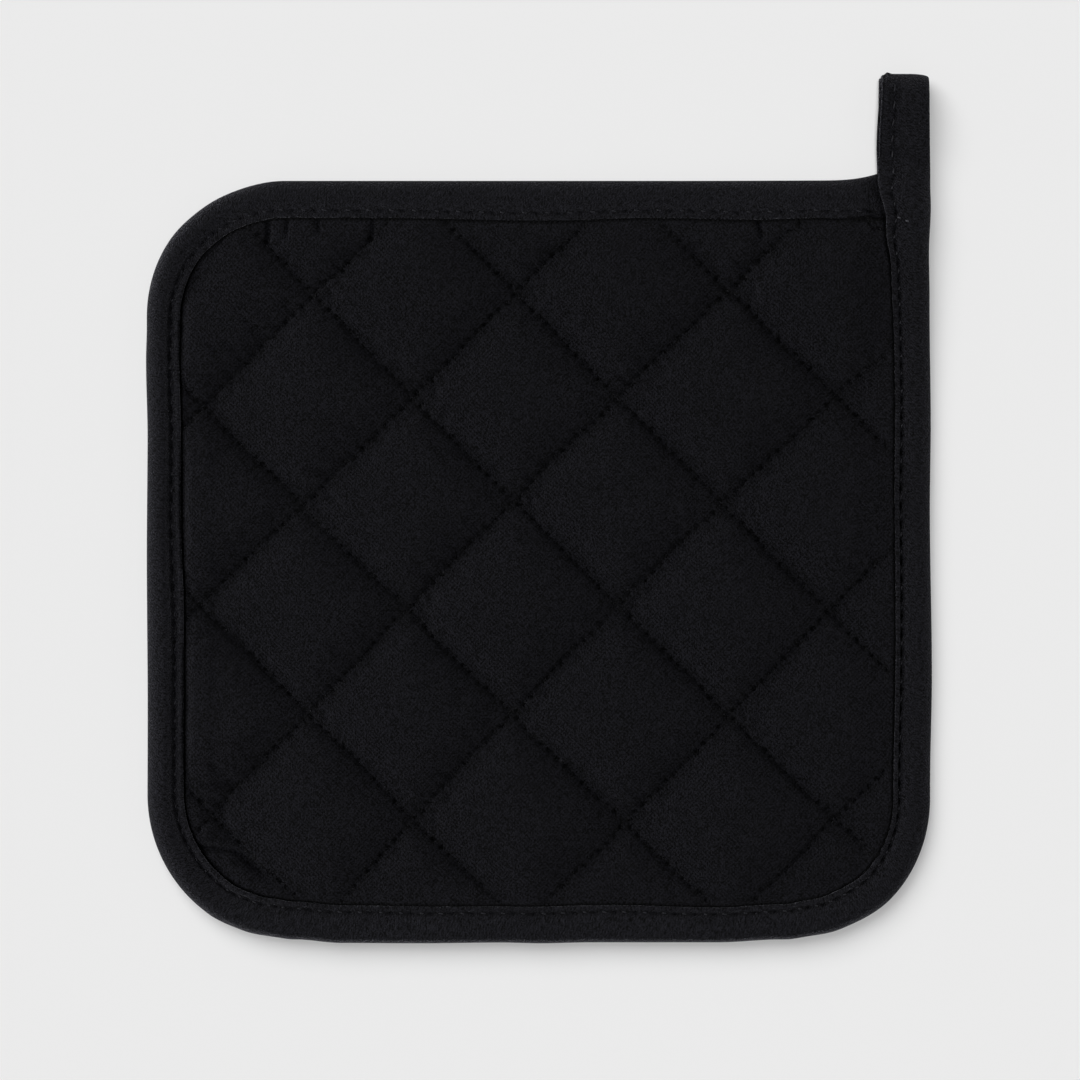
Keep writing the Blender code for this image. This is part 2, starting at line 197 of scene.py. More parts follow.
# Pad
SEAM_TOP = 5.1 * MM
FILL_HEIGHT = 3.6 * MM
SEAM_VALLEY = 0.55
SEAM_VALLEY_HALF = 3.5 * MM
SEAM_GROOVE = 0.35 * MM
SEAM_GROOVE_HALF = 0.8 * MM
EDGE_GROOVE = 0.6 * MM
EDGE_GROOVE_HALF = 0.4 * MM
LIP_UNDERSIDE = 5.4 * MM
TOP_SWELL = 0.4 * MM
RIGHT_SWELL = 0.5 * MM
LEFT_SWELL = 0.4 * MM
LEFT_BULGE = 1.25 * MM
SEAM_BOTTOM = 1.9 * MM
UNDERSIDE_FULLNESS = 2.95 * MM
EDGE_RUN = 10.0 * MM
BORDER_RUN = 15.0 * MM
PUFF_FLATNESS = 2.5
PUFF_SHARPNESS = 0.6
DIAMOND = 38.1 * MM
# Between which shares the fullness of the diamonds varies
DIAMOND_FULLNESS = (0.93, 1.05)
# Wavelengths of the crowns' unevenness, and how strong the finer of two wavelengths is
CROWN_WAVES = (24.0 * MM, 9.0 * MM)
FINE_SHARE = 0.45
# Widths of the puckers at the seams and along the binding, and the length over which the first fade
SEAM_PUCKER = 2.3 * MM
EDGE_PUCKER = 2.9 * MM
PUCKER_FADE = 4.2 * MM
# How high the pad's face is at most, and its back at least, where the tapes cross over its corner
CROSSING_TOP = 4.3 * MM
CROSSING_BOTTOM = 2.3 * MM
FACE_DIVISIONS = 52
BACK_DIVISIONS = 26
CLOTH_DIVISIONS = 26
# How much closer together the divisions are beside a seam
CLOSER_AT_SEAMS = 0.055
# The cloth is filled ten times its size, where Blender's cloth is steadier
CLOTH_SCALE = 10.0
CLOTH_FRAMES = 20
CLOTH_SURPLUS = 0.016
CLOTH_REACH = 4.0 * MM

# Seams that fall to the right: x + y at the seam's upper end, middle and lower end
FALLING_SEAMS = (
    (-216.0, -216.0, -216.0), (-164.4, -164.0, -164.4), (-112.3, -112.9, -112.6),
    (-60.8, -60.6, -58.6), (-2.4, -4.8, -4.2), (51.2, 48.3, 48.4),
    (105.5, 105.2, 105.8), (159.2, 159.2, 159.2), (213.0, 213.0, 213.0),
)
# Seams that rise to the right: x - y at the seam's lower end, middle and upper end
RISING_SEAMS = (
    (-166.5, -166.5, -166.5), (-113.2, -113.2, -113.2), (-63.0, -61.6, -60.8), (-5.4, -8.6, -6.4),
    (49.8, 45.2, 50.5), (104.5, 102.5, 100.5), (157.0, 156.5, 156.5), (210.0, 210.0, 210.0),
)
SEAM_HALF_RUN = 150.0 * MM
SEAM_WANDER = 0.55 * MM
SEAM_WAVES = (14.0 * MM, 4.6 * MM)

# Creases in the face cloth: start X and Y, end X and Y, half width, depth
CREASES = (
    (-87.9, -87.3, -78.6, -88.6, 1.1, 1.6),
    (-78.6, -88.6, -72.5, -93.5, 1.4, 1.1),
    (-86.3, -71.2, -78.0, -70.5, 1.6, 1.1),
    (-69.9, 74.3, -70.2, 68.0, 0.9, 1.5),
    (-65.0, 74.3, -65.4, 70.0, 0.8, 0.8),
    (-57.2, 74.3, -57.0, 71.0, 0.8, 0.9),
    (-43.0, 74.3, -43.6, 69.0, 0.9, 1.0),
    (56.6, 74.3, 57.6, 69.5, 0.9, 1.1),
    (84.2, 74.8, 86.5, 71.6, 0.5, 0.5),
    (-77.5, -90.6, -68.0, -98.0, 2.0, 0.8),
    (79.5, 27.4, 88.6, 25.6, 1.1, 0.25),
    (80.0, 23.6, 89.0, 22.4, 1.0, 0.2),
)

# ---------------------------------------------------------------- what a user may change


def hex_colour(text):
    """An sRGB hex colour as linear values and full alpha."""
    values = []
    for i in (0, 2, 4):
        share = int(text[i : i + 2], 16) / 255.0
        values.append(share / 12.92 if share <= 0.04045 else ((share + 0.055) / 1.055) ** 2.4)
    return tuple(values) + (1.0,)


def length_property(label, description, size, least):
    """A length that a user may change, from millimetres."""
    return bpy.props.FloatProperty(
        name=label, description=description, default=size * MM, min=least * MM, unit="LENGTH", precision=5
    )


def colour_property(label, description, text):
    """A colour that a user may change, from sRGB hex."""
    return bpy.props.FloatVectorProperty(
        name=label,
        description=description,
        subtype="COLOR",
        size=4,
        min=0.0,
        max=1.0,
        default=hex_colour(text),
    )


class PotHolderSizes(bpy.types.PropertyGroup):
    """Sizes of the sewn details, none of which changes the pot holder's own size."""

    pucker_height: length_property(
        "Pucker Height", "Height of the small puckers that run out from the quilting seams", 0.17, 0.0
    )
    crown_unevenness: length_property(
        "Crown Unevenness", "How much the fullness of the diamonds wanders", 0.32, 0.0
    )
    quilting_stitch: length_property(
        "Quilting Stitch", "Length of one quilting stitch from needle hole to needle hole", 2.75, 1.0
    )
    quilting_thread: length_property("Quilting Thread", "Diameter of the quilting thread", 0.28, 0.1)
    edge_stitch: length_property("Edge Stitch", "Length of one stitch of the binding's stitching", 4.8, 1.0)
    edge_thread: length_property("Edge Thread", "Diameter of the binding's sewing thread", 0.36, 0.1)
    stitch_dip: bpy.props.FloatProperty(
        name="Stitch Dip",
        description="How deep the stitching draws the tape down, compared with the real one",
        default=1.0,
        min=0.0,
        max=1.5,
    )


class PotHolderColours(bpy.types.PropertyGroup):
    """Colours of the cloth, the thread and the stage."""

    pad: colour_property("Pad", "Colour of the quilted cotton", "0a0a0d")
    tape: colour_property("Tape", "Colour of the binding tape and the loop", "0d0d10")
    thread: colour_property("Thread", "Colour of the sewing thread", "19191d")
    # Painted highlight: the tack's thread is lighter than the other thread so that its two stitches show as
    # glints
    tack: colour_property("Tack", "Colour of the thread that tacks the loop's end down", "323236")
    floor: colour_property("Floor", "Colour of the surface that the pot holder lies on", "ececec")


# ---------------------------------------------------------------- small helpers


def smooth(value):
    """Ease from 0 to 1 as value goes from 0 to 1."""
    held = np.clip(value, 0.0, 1.0)
    return held * held * (3.0 - 2.0 * held)


def ramp(length, start, run):
    """Ease from 0 to 1 as a length goes from a start on through a run, both in millimetres."""
    return smooth((length - start * MM) / (run * MM))


def bell(away, half):
    """1 in the middle, falling off to either side."""
    return np.exp(-((away / half) ** 2))


def mix(first, second, share):
    """Between two values, 0 being the first and 1 the second."""
    return first * (1.0 - share) + second * share


def from_table(rows, key):
    """Ease between the rows of a table whose first column is the key."""
    if key <= rows[0][0]:
        return rows[0][1:]
    for low, high in zip(rows, rows[1:]):
        if key <= high[0]:
            share = float(smooth((key - low[0]) / (high[0] - low[0])))
            return tuple(a + (b - a) * share for a, b in zip(low[1:], high[1:]))
    return rows[-1][1:]


def unevenness(across, along, seed):
    """Smooth wandering from -1 to 1 over places counted in its own wavelengths, the same each run."""
    lattice = np.random.default_rng(seed).uniform(-1.0, 1.0, (64, 64))
    i, j = np.floor(across).astype(int), np.floor(along).astype(int)
    u, v = smooth(across - i), smooth(along - j)
    low, high = (mix(lattice[i % 64, k % 64], lattice[(i + 1) % 64, k % 64], u) for k in (j, j + 1))
    return mix(low, high, v)


def lift(x, y):
    """Height by which the square corner stands off the surface at a place."""
    away = np.hypot(np.maximum(0.0, LIFT_LEFT - x), np.maximum(0.0, LIFT_LOW - y))
    return CORNER_LIFT * (1.0 - smooth(away / LIFT_REACH))


def make_mesh(name, points, faces, material):
    """An object at the origin from points and faces, shaded smooth."""
    mesh = bpy.data.meshes.new(name)
    mesh.from_pydata([tuple(point) for point in points], [], [tuple(face) for face in faces])
    mesh.validate()
    mesh.shade_smooth()
    mesh.materials.append(material)
    piece = bpy.data.objects.new(name, mesh)
    bpy.context.scene.collection.objects.link(piece)
    return piece


def add_uv(piece, name, across, along):
    """Give a piece a UV map from two values for each of its points."""
    places = np.stack([across, along], axis=1)
    layer = piece.data.uv_layers.new(name=name)
    corners = np.empty(len(piece.data.loops), int)
    piece.data.loops.foreach_get("vertex_index", corners)
    layer.data.foreach_set("uv", places[corners].ravel().astype(np.float32))


# ---------------------------------------------------------------- quilting seams


def seam_places(seams, along):
    """Where each seam runs at places along it, from its ends and middle."""
    start, middle, end = np.array(seams).T[:, :, None] * MM
    t = np.clip(along / SEAM_HALF_RUN, -1.0, 1.0)
    return middle + 0.5 * (end - start) * t + (0.5 * (start + end) - middle) * t * t


def number_place(seams, number, along):
    """Plan sum or difference at a number counted in seams."""
    places = seam_places(seams, along)
    i = np.clip(np.floor(number).astype(int), 0, len(seams) - 2)
    low = np.take_along_axis(places, i[None, :], axis=0)[0]
    high = np.take_along_axis(places, i[None, :] + 1, axis=0)[0]
    return low + (high - low) * (number - i)


def to_plan(falling, rising):
    """Seam numbers to plan position. Each family's place depends on the other's, so it is closed in on."""
    difference = np.zeros(len(falling))
    for _ in range(12):
        total = number_place(FALLING_SEAMS, falling, difference)
        difference = number_place(RISING_SEAMS, rising, total)
    total = total + seam_wander(falling, difference, 12)
    difference = difference + seam_wander(rising, total, 13)
    return (total + difference) / 2.0, (total - difference) / 2.0


def seam_wander(number, along, seed):
    """How far a seam, guided by hand, strays to the side."""
    slow = unevenness(number + 20.0, along / SEAM_WAVES[0] + 32.0, seed)
    fast = unevenness(number + 20.0, along / SEAM_WAVES[1] + 96.0, seed + 50)
    return SEAM_WANDER * (slow + FINE_SHARE * fast)


def seam_distance(number):
    """Distance of a place, counted in seams, from the nearest of them."""
    return (0.5 - np.abs(number - np.floor(number) - 0.5)) * DIAMOND


def puff(number):
    """Fullness between two seams, 0 on a seam and 1 midway."""
    across = np.abs(2.0 * (number - np.floor(number)) - 1.0)
    return np.maximum(0.0, 1.0 - across**PUFF_FLATNESS)


# ---------------------------------------------------------------- outline of the bound edge


class Stations:
    """The tape's line from the square corner round to the loop's end, one row a station."""

    def __init__(self):
        rows = self.edge_rows() + self.loop_rows()
        self.side = np.array([row[0] for row in rows])
        self.key = np.array([SIDES.index(row[0]) + row[1] for row in rows])
        self.fold = np.array([row[2] for row in rows])
        self.inward = np.array([row[3] for row in rows])
        self.width = self.eased(TAPE_WIDTHS)[:, 0] * MM
        self.inset = self.eased(STITCH_INSETS)[:, 0] * MM
        self.fold[:, :2] -= self.inward[:, :2] * self.eased(EDGE_DRIFTS) * MM
        height, base = self.eased(TAPE_HEIGHTS).T * MM
        on_loop = self.side == "loop"
        self.height = np.where(on_loop, [row[4] for row in rows], height)
        self.fold[on_loop, 2] -= CORNER_LIFT
        self.middle = self.fold.copy()
        self.middle[~on_loop, 2] = (base + height / 2.0)[~on_loop]
        up = np.cross(np.gradient(self.middle, axis=0), self.inward)
        up[~on_loop] = (0.0, 0.0, 1.0)
        self.up = up / np.linalg.norm(up, axis=1)[:, None]
        steps = np.linalg.norm(np.diff(self.middle, axis=0), axis=1)
        self.along = np.concatenate([[0.0], np.cumsum(steps)])

    def eased(self, table):
        """A table by side, read at every station."""
        rows = [(SIDES.index(side) + share, *rest) for side, own in table.items() for share, *rest in own]
        return np.array([from_table(rows, key) for key in self.key])

    @staticmethod
    def straight(name, start, end):
        """Rows along a straight side, its end left to the next side."""
        start, end = Vector(start), Vector(end)
        run = end - start
        count = max(1, round(run.length / STATION_STEP))
        inward = Vector((-run.y, run.x)).normalized()
        places = [start + run * (i / count) for i in range(count)]
        return [
            (name, i / count, (place.x, place.y, 0.0), (inward.x, inward.y, 0.0), 0.0)
            for i, place in enumerate(places)
        ]

    @staticmethod
    def arc(name, centre, radius, first_angle):
        """Rows along a quarter turn, anticlockwise, its end left to the next side."""
        count = round(radius * math.pi / 2.0 / STATION_STEP)
        rows = []
        for i in range(count):
            angle = math.radians(first_angle + 90.0 * i / count)
            x, y = math.cos(angle), math.sin(angle)
            place = (centre[0] + x * radius, centre[1] + y * radius, 0.0)
            rows.append((name, i / count, place, (-x, -y, 0.0), 0.0))
        return rows

    def edge_rows(self):
        """The folded edge, from under the square corner anticlockwise back to it."""
        left, right, top, bottom = -HALF_WIDTH, HALF_WIDTH, TOP_EDGE, BOTTOM_EDGE
        r1, r2, r3 = RADIUS_TOP_LEFT, RADIUS_BOTTOM_LEFT, RADIUS_BOTTOM_RIGHT
        rows = self.straight("tongue", (TONGUE_END, top), (TOP_STRIP_END, top))
        rows += self.straight("top", (TOP_STRIP_END, top), (left + r1, top))
        rows += self.arc("top_left", (left + r1, top - r1), r1, 90.0)
        rows += self.straight("left", (left, top - r1), (left, bottom + r2))
        rows += self.arc("bottom_left", (left + r2, bottom + r2), r2, 180.0)
        rows += self.straight("bottom", (left + r2, bottom), (right - r3, bottom))
        rows += self.arc("bottom_right", (right - r3, bottom + r3), r3, 270.0)
        rows += self.straight("right", (right, bottom + r3), (right, RIGHT_STRIP_END))
        shaped = []
        for name, share, (x, y, z), inward, height in rows:
            if name in ("top", "tongue"):
                reach = (x - CORNER_RISE_START) / (TOP_STRIP_END - CORNER_RISE_START)
                hidden = float(smooth((x - TOP_STRIP_END - 0.6 * MM) / (4.0 * MM)))
                y += CORNER_RISE * min(1.0, max(0.0, reach)) ** 3 * (1.0 - hidden)
                y += (TONGUE_EDGE - TOP_EDGE) * hidden
            shaped.append((name, share, (x, y, z), inward, height))
        return shaped

    @staticmethod
    def loop_rows():
        """The tape beyond the corner, on a smooth curve through its table."""
        table = np.array(LOOP_LINE) * MM
        table = np.vstack([2.0 * table[0] - table[1], table, 2.0 * table[-1] - table[-2]])
        fine = []
        for before, a, b, after in zip(table, table[1:], table[2:], table[3:]):
            count = max(2, round(float(np.hypot(*(b - a)[:2])) / (STATION_STEP * 0.75)))
            for t in np.arange(count) / count:
                bend = 2.0 * before - 5.0 * a + 4.0 * b - after
                turn = 3.0 * a - before - 3.0 * b + after
                fine.append(0.5 * (2.0 * a + (b - before) * t + bend * t * t + turn * t**3))
        fine.append(table[-2])
        return [
            ("loop", i / (len(fine) - 1), (HALF_WIDTH, y, z), (-1.0, 0.0, 0.0), height)
            for i, (y, z, height) in enumerate(fine)
        ]

    def place(self, along, depth, level):
        """Points on the tape, at lengths along it, distances in from the fold and heights."""
        point = []
        for axis in range(3):
            middle, inward, up = (
                self.read(values[:, axis], along) for values in (self.middle, self.inward, self.up)
            )
            point.append(middle + inward * depth + up * level)
        point = np.array(point).T
        point[:, 2] += lift(point[:, 0], point[:, 1])
        return point

    def read(self, values, along):
        """A station value at lengths along the tape."""
        return np.interp(along, self.along, values)


def border_lines(stations):
    """The line along the tape's inner edge and the pad's cut edge, each a closed polygon."""
    inner, cut = [], []
    for side, fold, inward, width in zip(stations.side, stations.fold, stations.inward, stations.width):
        if side == "loop":
            continue
        place = fold[:2] + inward[:2] * width
        edge = fold[:2] + inward[:2] * CUT_INSET
        covered = side == "right" and place[1] > TOP_EDGE - FACE_BELOW_FOLD
        covered = covered or (side == "top" and place[0] > HALF_WIDTH - FACE_BESIDE_FOLD)
        if side != "tongue" and not covered:
            inner.append(place)
        if side != "right" or edge[1] <= TONGUE_EDGE - CUT_INSET:
            cut.append(edge)
    inner.append((inner[-1][0] - 0.2 * MM, inner[0][1]))
    cut.append((HALF_WIDTH - CUT_INSET - 0.7 * MM, TONGUE_EDGE - CUT_INSET))
    return np.array(inner), np.array(cut)


def border_distance(x, y, border):
    """Distance inside a closed anticlockwise line, negative outside, and the place along it."""
    run = np.roll(border, -1, axis=0) - border
    squared = (run**2).sum(axis=1)
    lengths = np.concatenate([[0.0], np.cumsum(np.sqrt(squared))])[:-1]
    distance = np.empty(len(x))
    along = np.empty(len(x))
    for first in range(0, len(x), 4000):
        part = slice(first, first + 4000)
        dx = x[part, None] - border[None, :, 0]
        dy = y[part, None] - border[None, :, 1]
        share = np.clip((dx * run[:, 0] + dy * run[:, 1]) / squared, 0.0, 1.0)
        away = np.hypot(dx - run[:, 0] * share, dy - run[:, 1] * share)
        nearest = away.argmin(axis=1)
        row = np.arange(len(nearest))
        side = run[nearest, 0] * dy[row, nearest] - run[nearest, 1] * dx[row, nearest]
        distance[part] = np.where(side > 0.0, 1.0, -1.0) * away[row, nearest]
        along[part] = lengths[nearest] + share[row, nearest] * np.sqrt(squared[nearest])
    return distance, along


# ---------------------------------------------------------------- quilted pad


class PadShape:
    """The pad's two faces as heights over its plan."""

    def __init__(self, stations, sizes):
        self.inner, self.cut = border_lines(stations)
        self.sizes = sizes
        self.relief = None
        self.fullness_of = np.random.default_rng(11).uniform(*DIAMOND_FULLNESS, (16, 16))

    def seam_puckers(self, across, along, seed):
        """Small puckers that run out from the nearest seam and fade."""
        from_seam = seam_distance(across)
        which = np.floor(across + 0.5)
        side = np.where(across > which, 0.5, 0.0)
        place = along * DIAMOND / SEAM_PUCKER + which * 7.0 + side * 31.0
        grows = from_seam / (from_seam + 0.9 * MM)
        return unevenness(place, from_seam / (7.0 * MM), seed) * grows * np.exp(-from_seam / PUCKER_FADE)

    def puckers(self, falling, rising, seed):
        """The puckers of both families of seams."""
        return self.seam_puckers(falling, rising, seed) + self.seam_puckers(rising, falling, seed + 1)

    def seam_groove(self, across, along):
        """The narrow groove at a seam, drawn deeper at every needle hole."""
        from_seam = seam_distance(across)
        hole = 0.5 + 0.5 * np.cos(2.0 * np.pi * along * DIAMOND / self.sizes.quilting_stitch)
        groove = SEAM_GROOVE * bell(from_seam, SEAM_GROOVE_HALF) * (0.2 + 1.1 * hole)
        return groove + self.sizes.pucker_height * bell(from_seam - 1.3 * MM, 0.9 * MM) * (hole - 0.5)

    def shape(self, falling, rising):
        """What both faces share: plan position, distance inside the binding and fullness."""
        x, y = to_plan(falling, rising)
        inside, along = border_distance(x, y, self.inner)
        diamond = np.floor(falling).astype(int) % 16, np.floor(rising).astype(int) % 16
        fullness = (puff(falling) * puff(rising)) ** PUFF_SHARPNESS
        outer = np.clip(1.0 - inside / BORDER_RUN, 0.0, 1.0)
        fullness *= (1.0 - outer**PUFF_FLATNESS) ** PUFF_SHARPNESS
        return SimpleNamespace(
            x=x,
            y=y,
            inside=inside,
            along=along,
            fullness=fullness,
            uneven=1.0 + (self.fullness_of[diamond] - 1.0) * fullness,
            ease=smooth(inside / EDGE_RUN),
            # 1 where the binding holds the pad, and where the tapes cross over its square corner
            held=ramp(inside, 0.6, -1.8),
            squeezed=ramp(x, 84.5, 3.0) * ramp(y, 71.0, 3.0) * ramp(inside, 0.1, -0.9),
            # How far a place belongs to the left side, where the pad is full up to the binding
            at_left=ramp(x, -80.0, -6.0) * ramp(y, 60.0, -14.0) * ramp(y, -94.0, 14.0),
        )

    @staticmethod
    def face_base(at):
        """Height of the face cloth at the binding, which swells against the tape, and along its seams."""
        edge = LIP_UNDERSIDE + TOP_SWELL * ramp(at.y, 66.0, 6.0) + RIGHT_SWELL * ramp(at.x, 82.0, 6.0)
        edge = edge + LEFT_SWELL * at.at_left
        return edge, edge + (SEAM_TOP - edge) * at.ease

    def fill(self):
        """Sew the face cloth down along its seams, fill it by cloth simulation and keep its relief."""
        counts = [(len(seams) - 1) * CLOTH_DIVISIONS + 1 for seams in (FALLING_SEAMS, RISING_SEAMS)]
        i, j = np.meshgrid(np.arange(counts[0]), np.arange(counts[1]), indexing="ij")
        shape = i.shape
        i, j = i.ravel(), j.ravel()
        falling = np.minimum(i / CLOTH_DIVISIONS, len(FALLING_SEAMS) - 1.0001)
        rising = np.minimum(j / CLOTH_DIVISIONS, len(RISING_SEAMS) - 1.0001)
        at = self.shape(falling, rising)
        flat = np.array([at.x, at.y, self.face_base(at)[1]]).T
        start = flat.copy()
        start[:, 2] += 0.25 * FILL_HEIGHT * puff(falling) * puff(rising) * at.ease
        quads, used = grid_quads((at.inside > -1.5 * MM).reshape(shape))
        sewn = (i % CLOTH_DIVISIONS == 0) | (j % CLOTH_DIVISIONS == 0) | (at.inside < 0.3 * MM)
        moved = fill_cloth(start[used], quads, np.nonzero(sewn[used])[0]) - flat[used]
        # The fullest crown is brought to that of the real pad, and the puckers beside it alike
        moved *= FILL_HEIGHT / moved[:, 2].max()
        # No point moves farther than that
        moved *= np.minimum(1.0, CLOTH_REACH / np.maximum(1e-9, np.linalg.norm(moved, axis=1)))[:, None]
        near_edge = np.maximum(smooth(at.inside / (12.0 * MM)), 0.75 * at.at_left)
        moved[:, 2] *= 0.4 + 0.6 * near_edge[used]
        self.relief = np.zeros((falling.size, 3))
        self.relief[used] = moved
        self.relief = self.relief.reshape(shape + (3,))

    def read_relief(self, falling, rising):
        """How the filling moved the face cloth."""
        return read_grid(self.relief, falling * CLOTH_DIVISIONS, rising * CLOTH_DIVISIONS)

    def face(self, falling, rising):
        """Points of the upper face."""
        at = self.shape(falling, rising)
        x, y, inside = at.x, at.y, at.inside
        edge, base = self.face_base(at)
        bulge = ramp(inside, 0.0, 3.0) * (1.0 - ramp(inside, 3.0, 13.0))
        base = base + LEFT_BULGE * at.at_left * bulge * (puff(falling) * puff(rising)) ** 0.4
        if self.relief is None:
            top = base + FILL_HEIGHT * at.fullness * at.uneven
        else:
            shift = self.read_relief(falling, rising)
            # The wadding is squeezed beside a seam, so the cloth slopes down to it from farther off
            top = shift[:, 2] * at.uneven
            for number in (falling, rising):
                top = top * (1.0 - SEAM_VALLEY * bell(seam_distance(number), SEAM_VALLEY_HALF))
            top = base + top
            x, y = x + shift[:, 0], y + shift[:, 1]
        slow, fast = CROWN_WAVES
        wander = unevenness(x / slow + 40.0, y / slow + 40.0, 3)
        wander += FINE_SHARE * unevenness(x / fast + 40.0, y / fast + 40.0, 4)
        top += self.sizes.crown_unevenness * wander * at.fullness
        at_edge = np.clip(inside / (5.0 * MM), 0.0, 1.0) * (1.0 - ramp(inside, 0.0, 9.0))
        puckers = self.puckers(falling, rising, 5)
        puckers += unevenness(at.along / EDGE_PUCKER, inside / (9.0 * MM), 7) * at_edge
        top += self.sizes.pucker_height * puckers * (1.0 - at.held)
        groove = self.seam_groove(falling, rising) + self.seam_groove(rising, falling)
        top -= groove * ramp(inside, 0.0, 2.0)
        top -= EDGE_GROOVE * bell(inside - 0.1 * MM, EDGE_GROOVE_HALF) * (1.0 - at.squeezed)
        for row in CREASES:
            top -= crease(x, y, *np.array(row) * MM) * (1.0 - at.held)
        under = edge - 1.4 * MM * ramp(inside, -0.2, -1.4)
        top = mix(top, np.minimum(top, under), at.held)
        top = mix(top, np.minimum(top, CROSSING_TOP), at.squeezed)
        return np.array([x, y, top + lift(x, y)]).T

    def back(self, falling, rising):
        """Points of the lower face, flat where it lies on the surface."""
        at = self.shape(falling, rising)
        edge = WALL + GAP
        fullness = at.fullness
        if self.relief is not None:
            fullness = self.read_relief(falling, rising)[:, 2] / FILL_HEIGHT
        bottom = edge + (SEAM_BOTTOM - edge) * at.ease - UNDERSIDE_FULLNESS * fullness
        puckers = self.puckers(falling, rising, 8)
        bottom = np.maximum(0.0, bottom + self.sizes.pucker_height * puckers * (1.0 - at.held))
        bottom = mix(bottom, np.maximum(bottom, edge), at.held)
        bottom = mix(bottom, np.maximum(bottom, CROSSING_BOTTOM), at.squeezed)
        return np.array([at.x, at.y, bottom + lift(at.x, at.y)]).T


def crease(x, y, x1, y1, x2, y2, reach, depth):
    """A groove between two places, deepest in its middle."""
    run = (x2 - x1, y2 - y1)
    squared = run[0] ** 2 + run[1] ** 2
    held = np.clip(((x - x1) * run[0] + (y - y1) * run[1]) / squared, 0.0, 1.0)
    away = np.hypot(x - x1 - run[0] * held, y - y1 - run[1] * held)
    return depth * np.exp(-((away / reach) ** 2) * 1.4) * (0.55 + 0.45 * np.sin(np.pi * held))


def grid_quads(keep):
    """Quads, facing up, of a grid in seam numbers where all four corners are kept, and their points."""
    whole = keep[:-1, :-1] & keep[1:, :-1] & keep[:-1, 1:] & keep[1:, 1:]
    i, j = np.nonzero(whole)
    index = np.arange(keep.size).reshape(keep.shape)
    quads = np.array([index[i, j], index[i, j + 1], index[i + 1, j + 1], index[i + 1, j]]).T
    used, quads = np.unique(quads, return_inverse=True)
    return quads.reshape(-1, 4), used


def read_grid(grid, i, j):
    """Values between a grid's points, on a smooth curve through them both ways."""
    weights = []
    for places, size in ((i, grid.shape[0]), (j, grid.shape[1])):
        first = np.clip(np.floor(places).astype(int), 0, size - 2)
        t = (places - first)[:, None]
        curve = (
            ((-0.5 * t + 1.0) * t - 0.5) * t,
            (1.5 * t - 2.5) * t * t + 1.0,
            ((-1.5 * t + 2.0) * t + 0.5) * t,
            (0.5 * t - 0.5) * t * t,
        )
        weights.append([(np.clip(first + k - 1, 0, size - 1), curve[k]) for k in range(4)])
    total = 0.0
    for rows, row_weight in weights[0]:
        for columns, column_weight in weights[1]:
            total = total + grid[rows, columns] * row_weight * column_weight
    return total


def fill_cloth(points, quads, sewn):
    """Blow up a sheet of cloth that is sewn down at some of its points, with surplus cloth to pucker."""
    mesh = bpy.data.meshes.new("filled_cloth")
    mesh.from_pydata((points * CLOTH_SCALE).tolist(), [], quads.tolist())
    sheet = bpy.data.objects.new("filled_cloth", mesh)
    bpy.context.scene.collection.objects.link(sheet)
    sheet.vertex_groups.new(name="sewn").add(sewn.tolist(), 1.0, "REPLACE")
    cloth = sheet.modifiers.new("cloth", "CLOTH")
    settings = cloth.settings
    settings.quality = 5
    settings.mass = 0.1
    settings.tension_stiffness = settings.compression_stiffness = 15.0
    settings.shear_stiffness = 7.5
    settings.bending_stiffness = 0.05
    settings.vertex_group_mass = "sewn"
    settings.use_pressure = True
    settings.uniform_pressure_force = 8.0
    settings.shrink_min = settings.shrink_max = -CLOTH_SURPLUS
    settings.effector_weights.gravity = 0.0
    cloth.collision_settings.use_collision = False
    cloth.point_cache.frame_start = 1
    cloth.point_cache.frame_end = CLOTH_FRAMES
    for number in range(1, CLOTH_FRAMES + 1):
        bpy.context.scene.frame_set(number)
    bpy.ops.object.select_all(action="DESELECT")
    bpy.context.view_layer.objects.active = sheet
    bpy.ops.object.modifier_apply(modifier=cloth.name)
    filled = np.empty(len(points) * 3, np.float32)
    sheet.data.vertices.foreach_get("co", filled)
    bpy.data.objects.remove(sheet)
    bpy.context.scene.frame_set(1)
    return filled.reshape(-1, 3).astype(float) / CLOTH_SCALE


def divided_numbers(seams, divisions):
    """Seam numbers from the first seam to the last, a little closer together beside the seams."""
    share = np.arange(divisions) / divisions
    share = share - CLOSER_AT_SEAMS * np.sin(2.0 * np.pi * share)
    return (np.arange(len(seams) - 1)[:, None] + share[None, :]).ravel()


def pad_sheet(pad, points_of, divisions):
    """One face of the pad as points and quads, with its rim in order along the cut edge."""
    numbers = [divided_numbers(seams, divisions) for seams in (FALLING_SEAMS, RISING_SEAMS)]
    falling, rising = np.meshgrid(*numbers, indexing="ij")
    inside, _ = border_distance(*to_plan(falling.ravel(), rising.ravel()), pad.cut[::3])
    quads, used = grid_quads((inside > 0.0).reshape(falling.shape))
    numbers = np.stack([falling.ravel()[used], rising.ravel()[used]])
    points = points_of(*numbers)
    rim = open_rim(quads)
    place, along = nearest_on_line(points[rim, 0], points[rim, 1], pad.cut)
    points[rim, :2] = place
    first = int(along.argmin())
    return points, quads, np.roll(rim, -first), np.roll(along, -first), numbers


def open_rim(quads):
    """The boundary vertices of a sheet of quads, in order round it."""
    edges = set()
    for a, b in ((0, 1), (1, 2), (2, 3), (3, 0)):
        edges.update(zip(quads[:, a].tolist(), quads[:, b].tolist()))
    after = {a: b for a, b in edges if (b, a) not in edges}
    start = next(iter(after))
    rim = [start]
    while after[rim[-1]] != start:
        rim.append(after[rim[-1]])
    return np.array(rim)


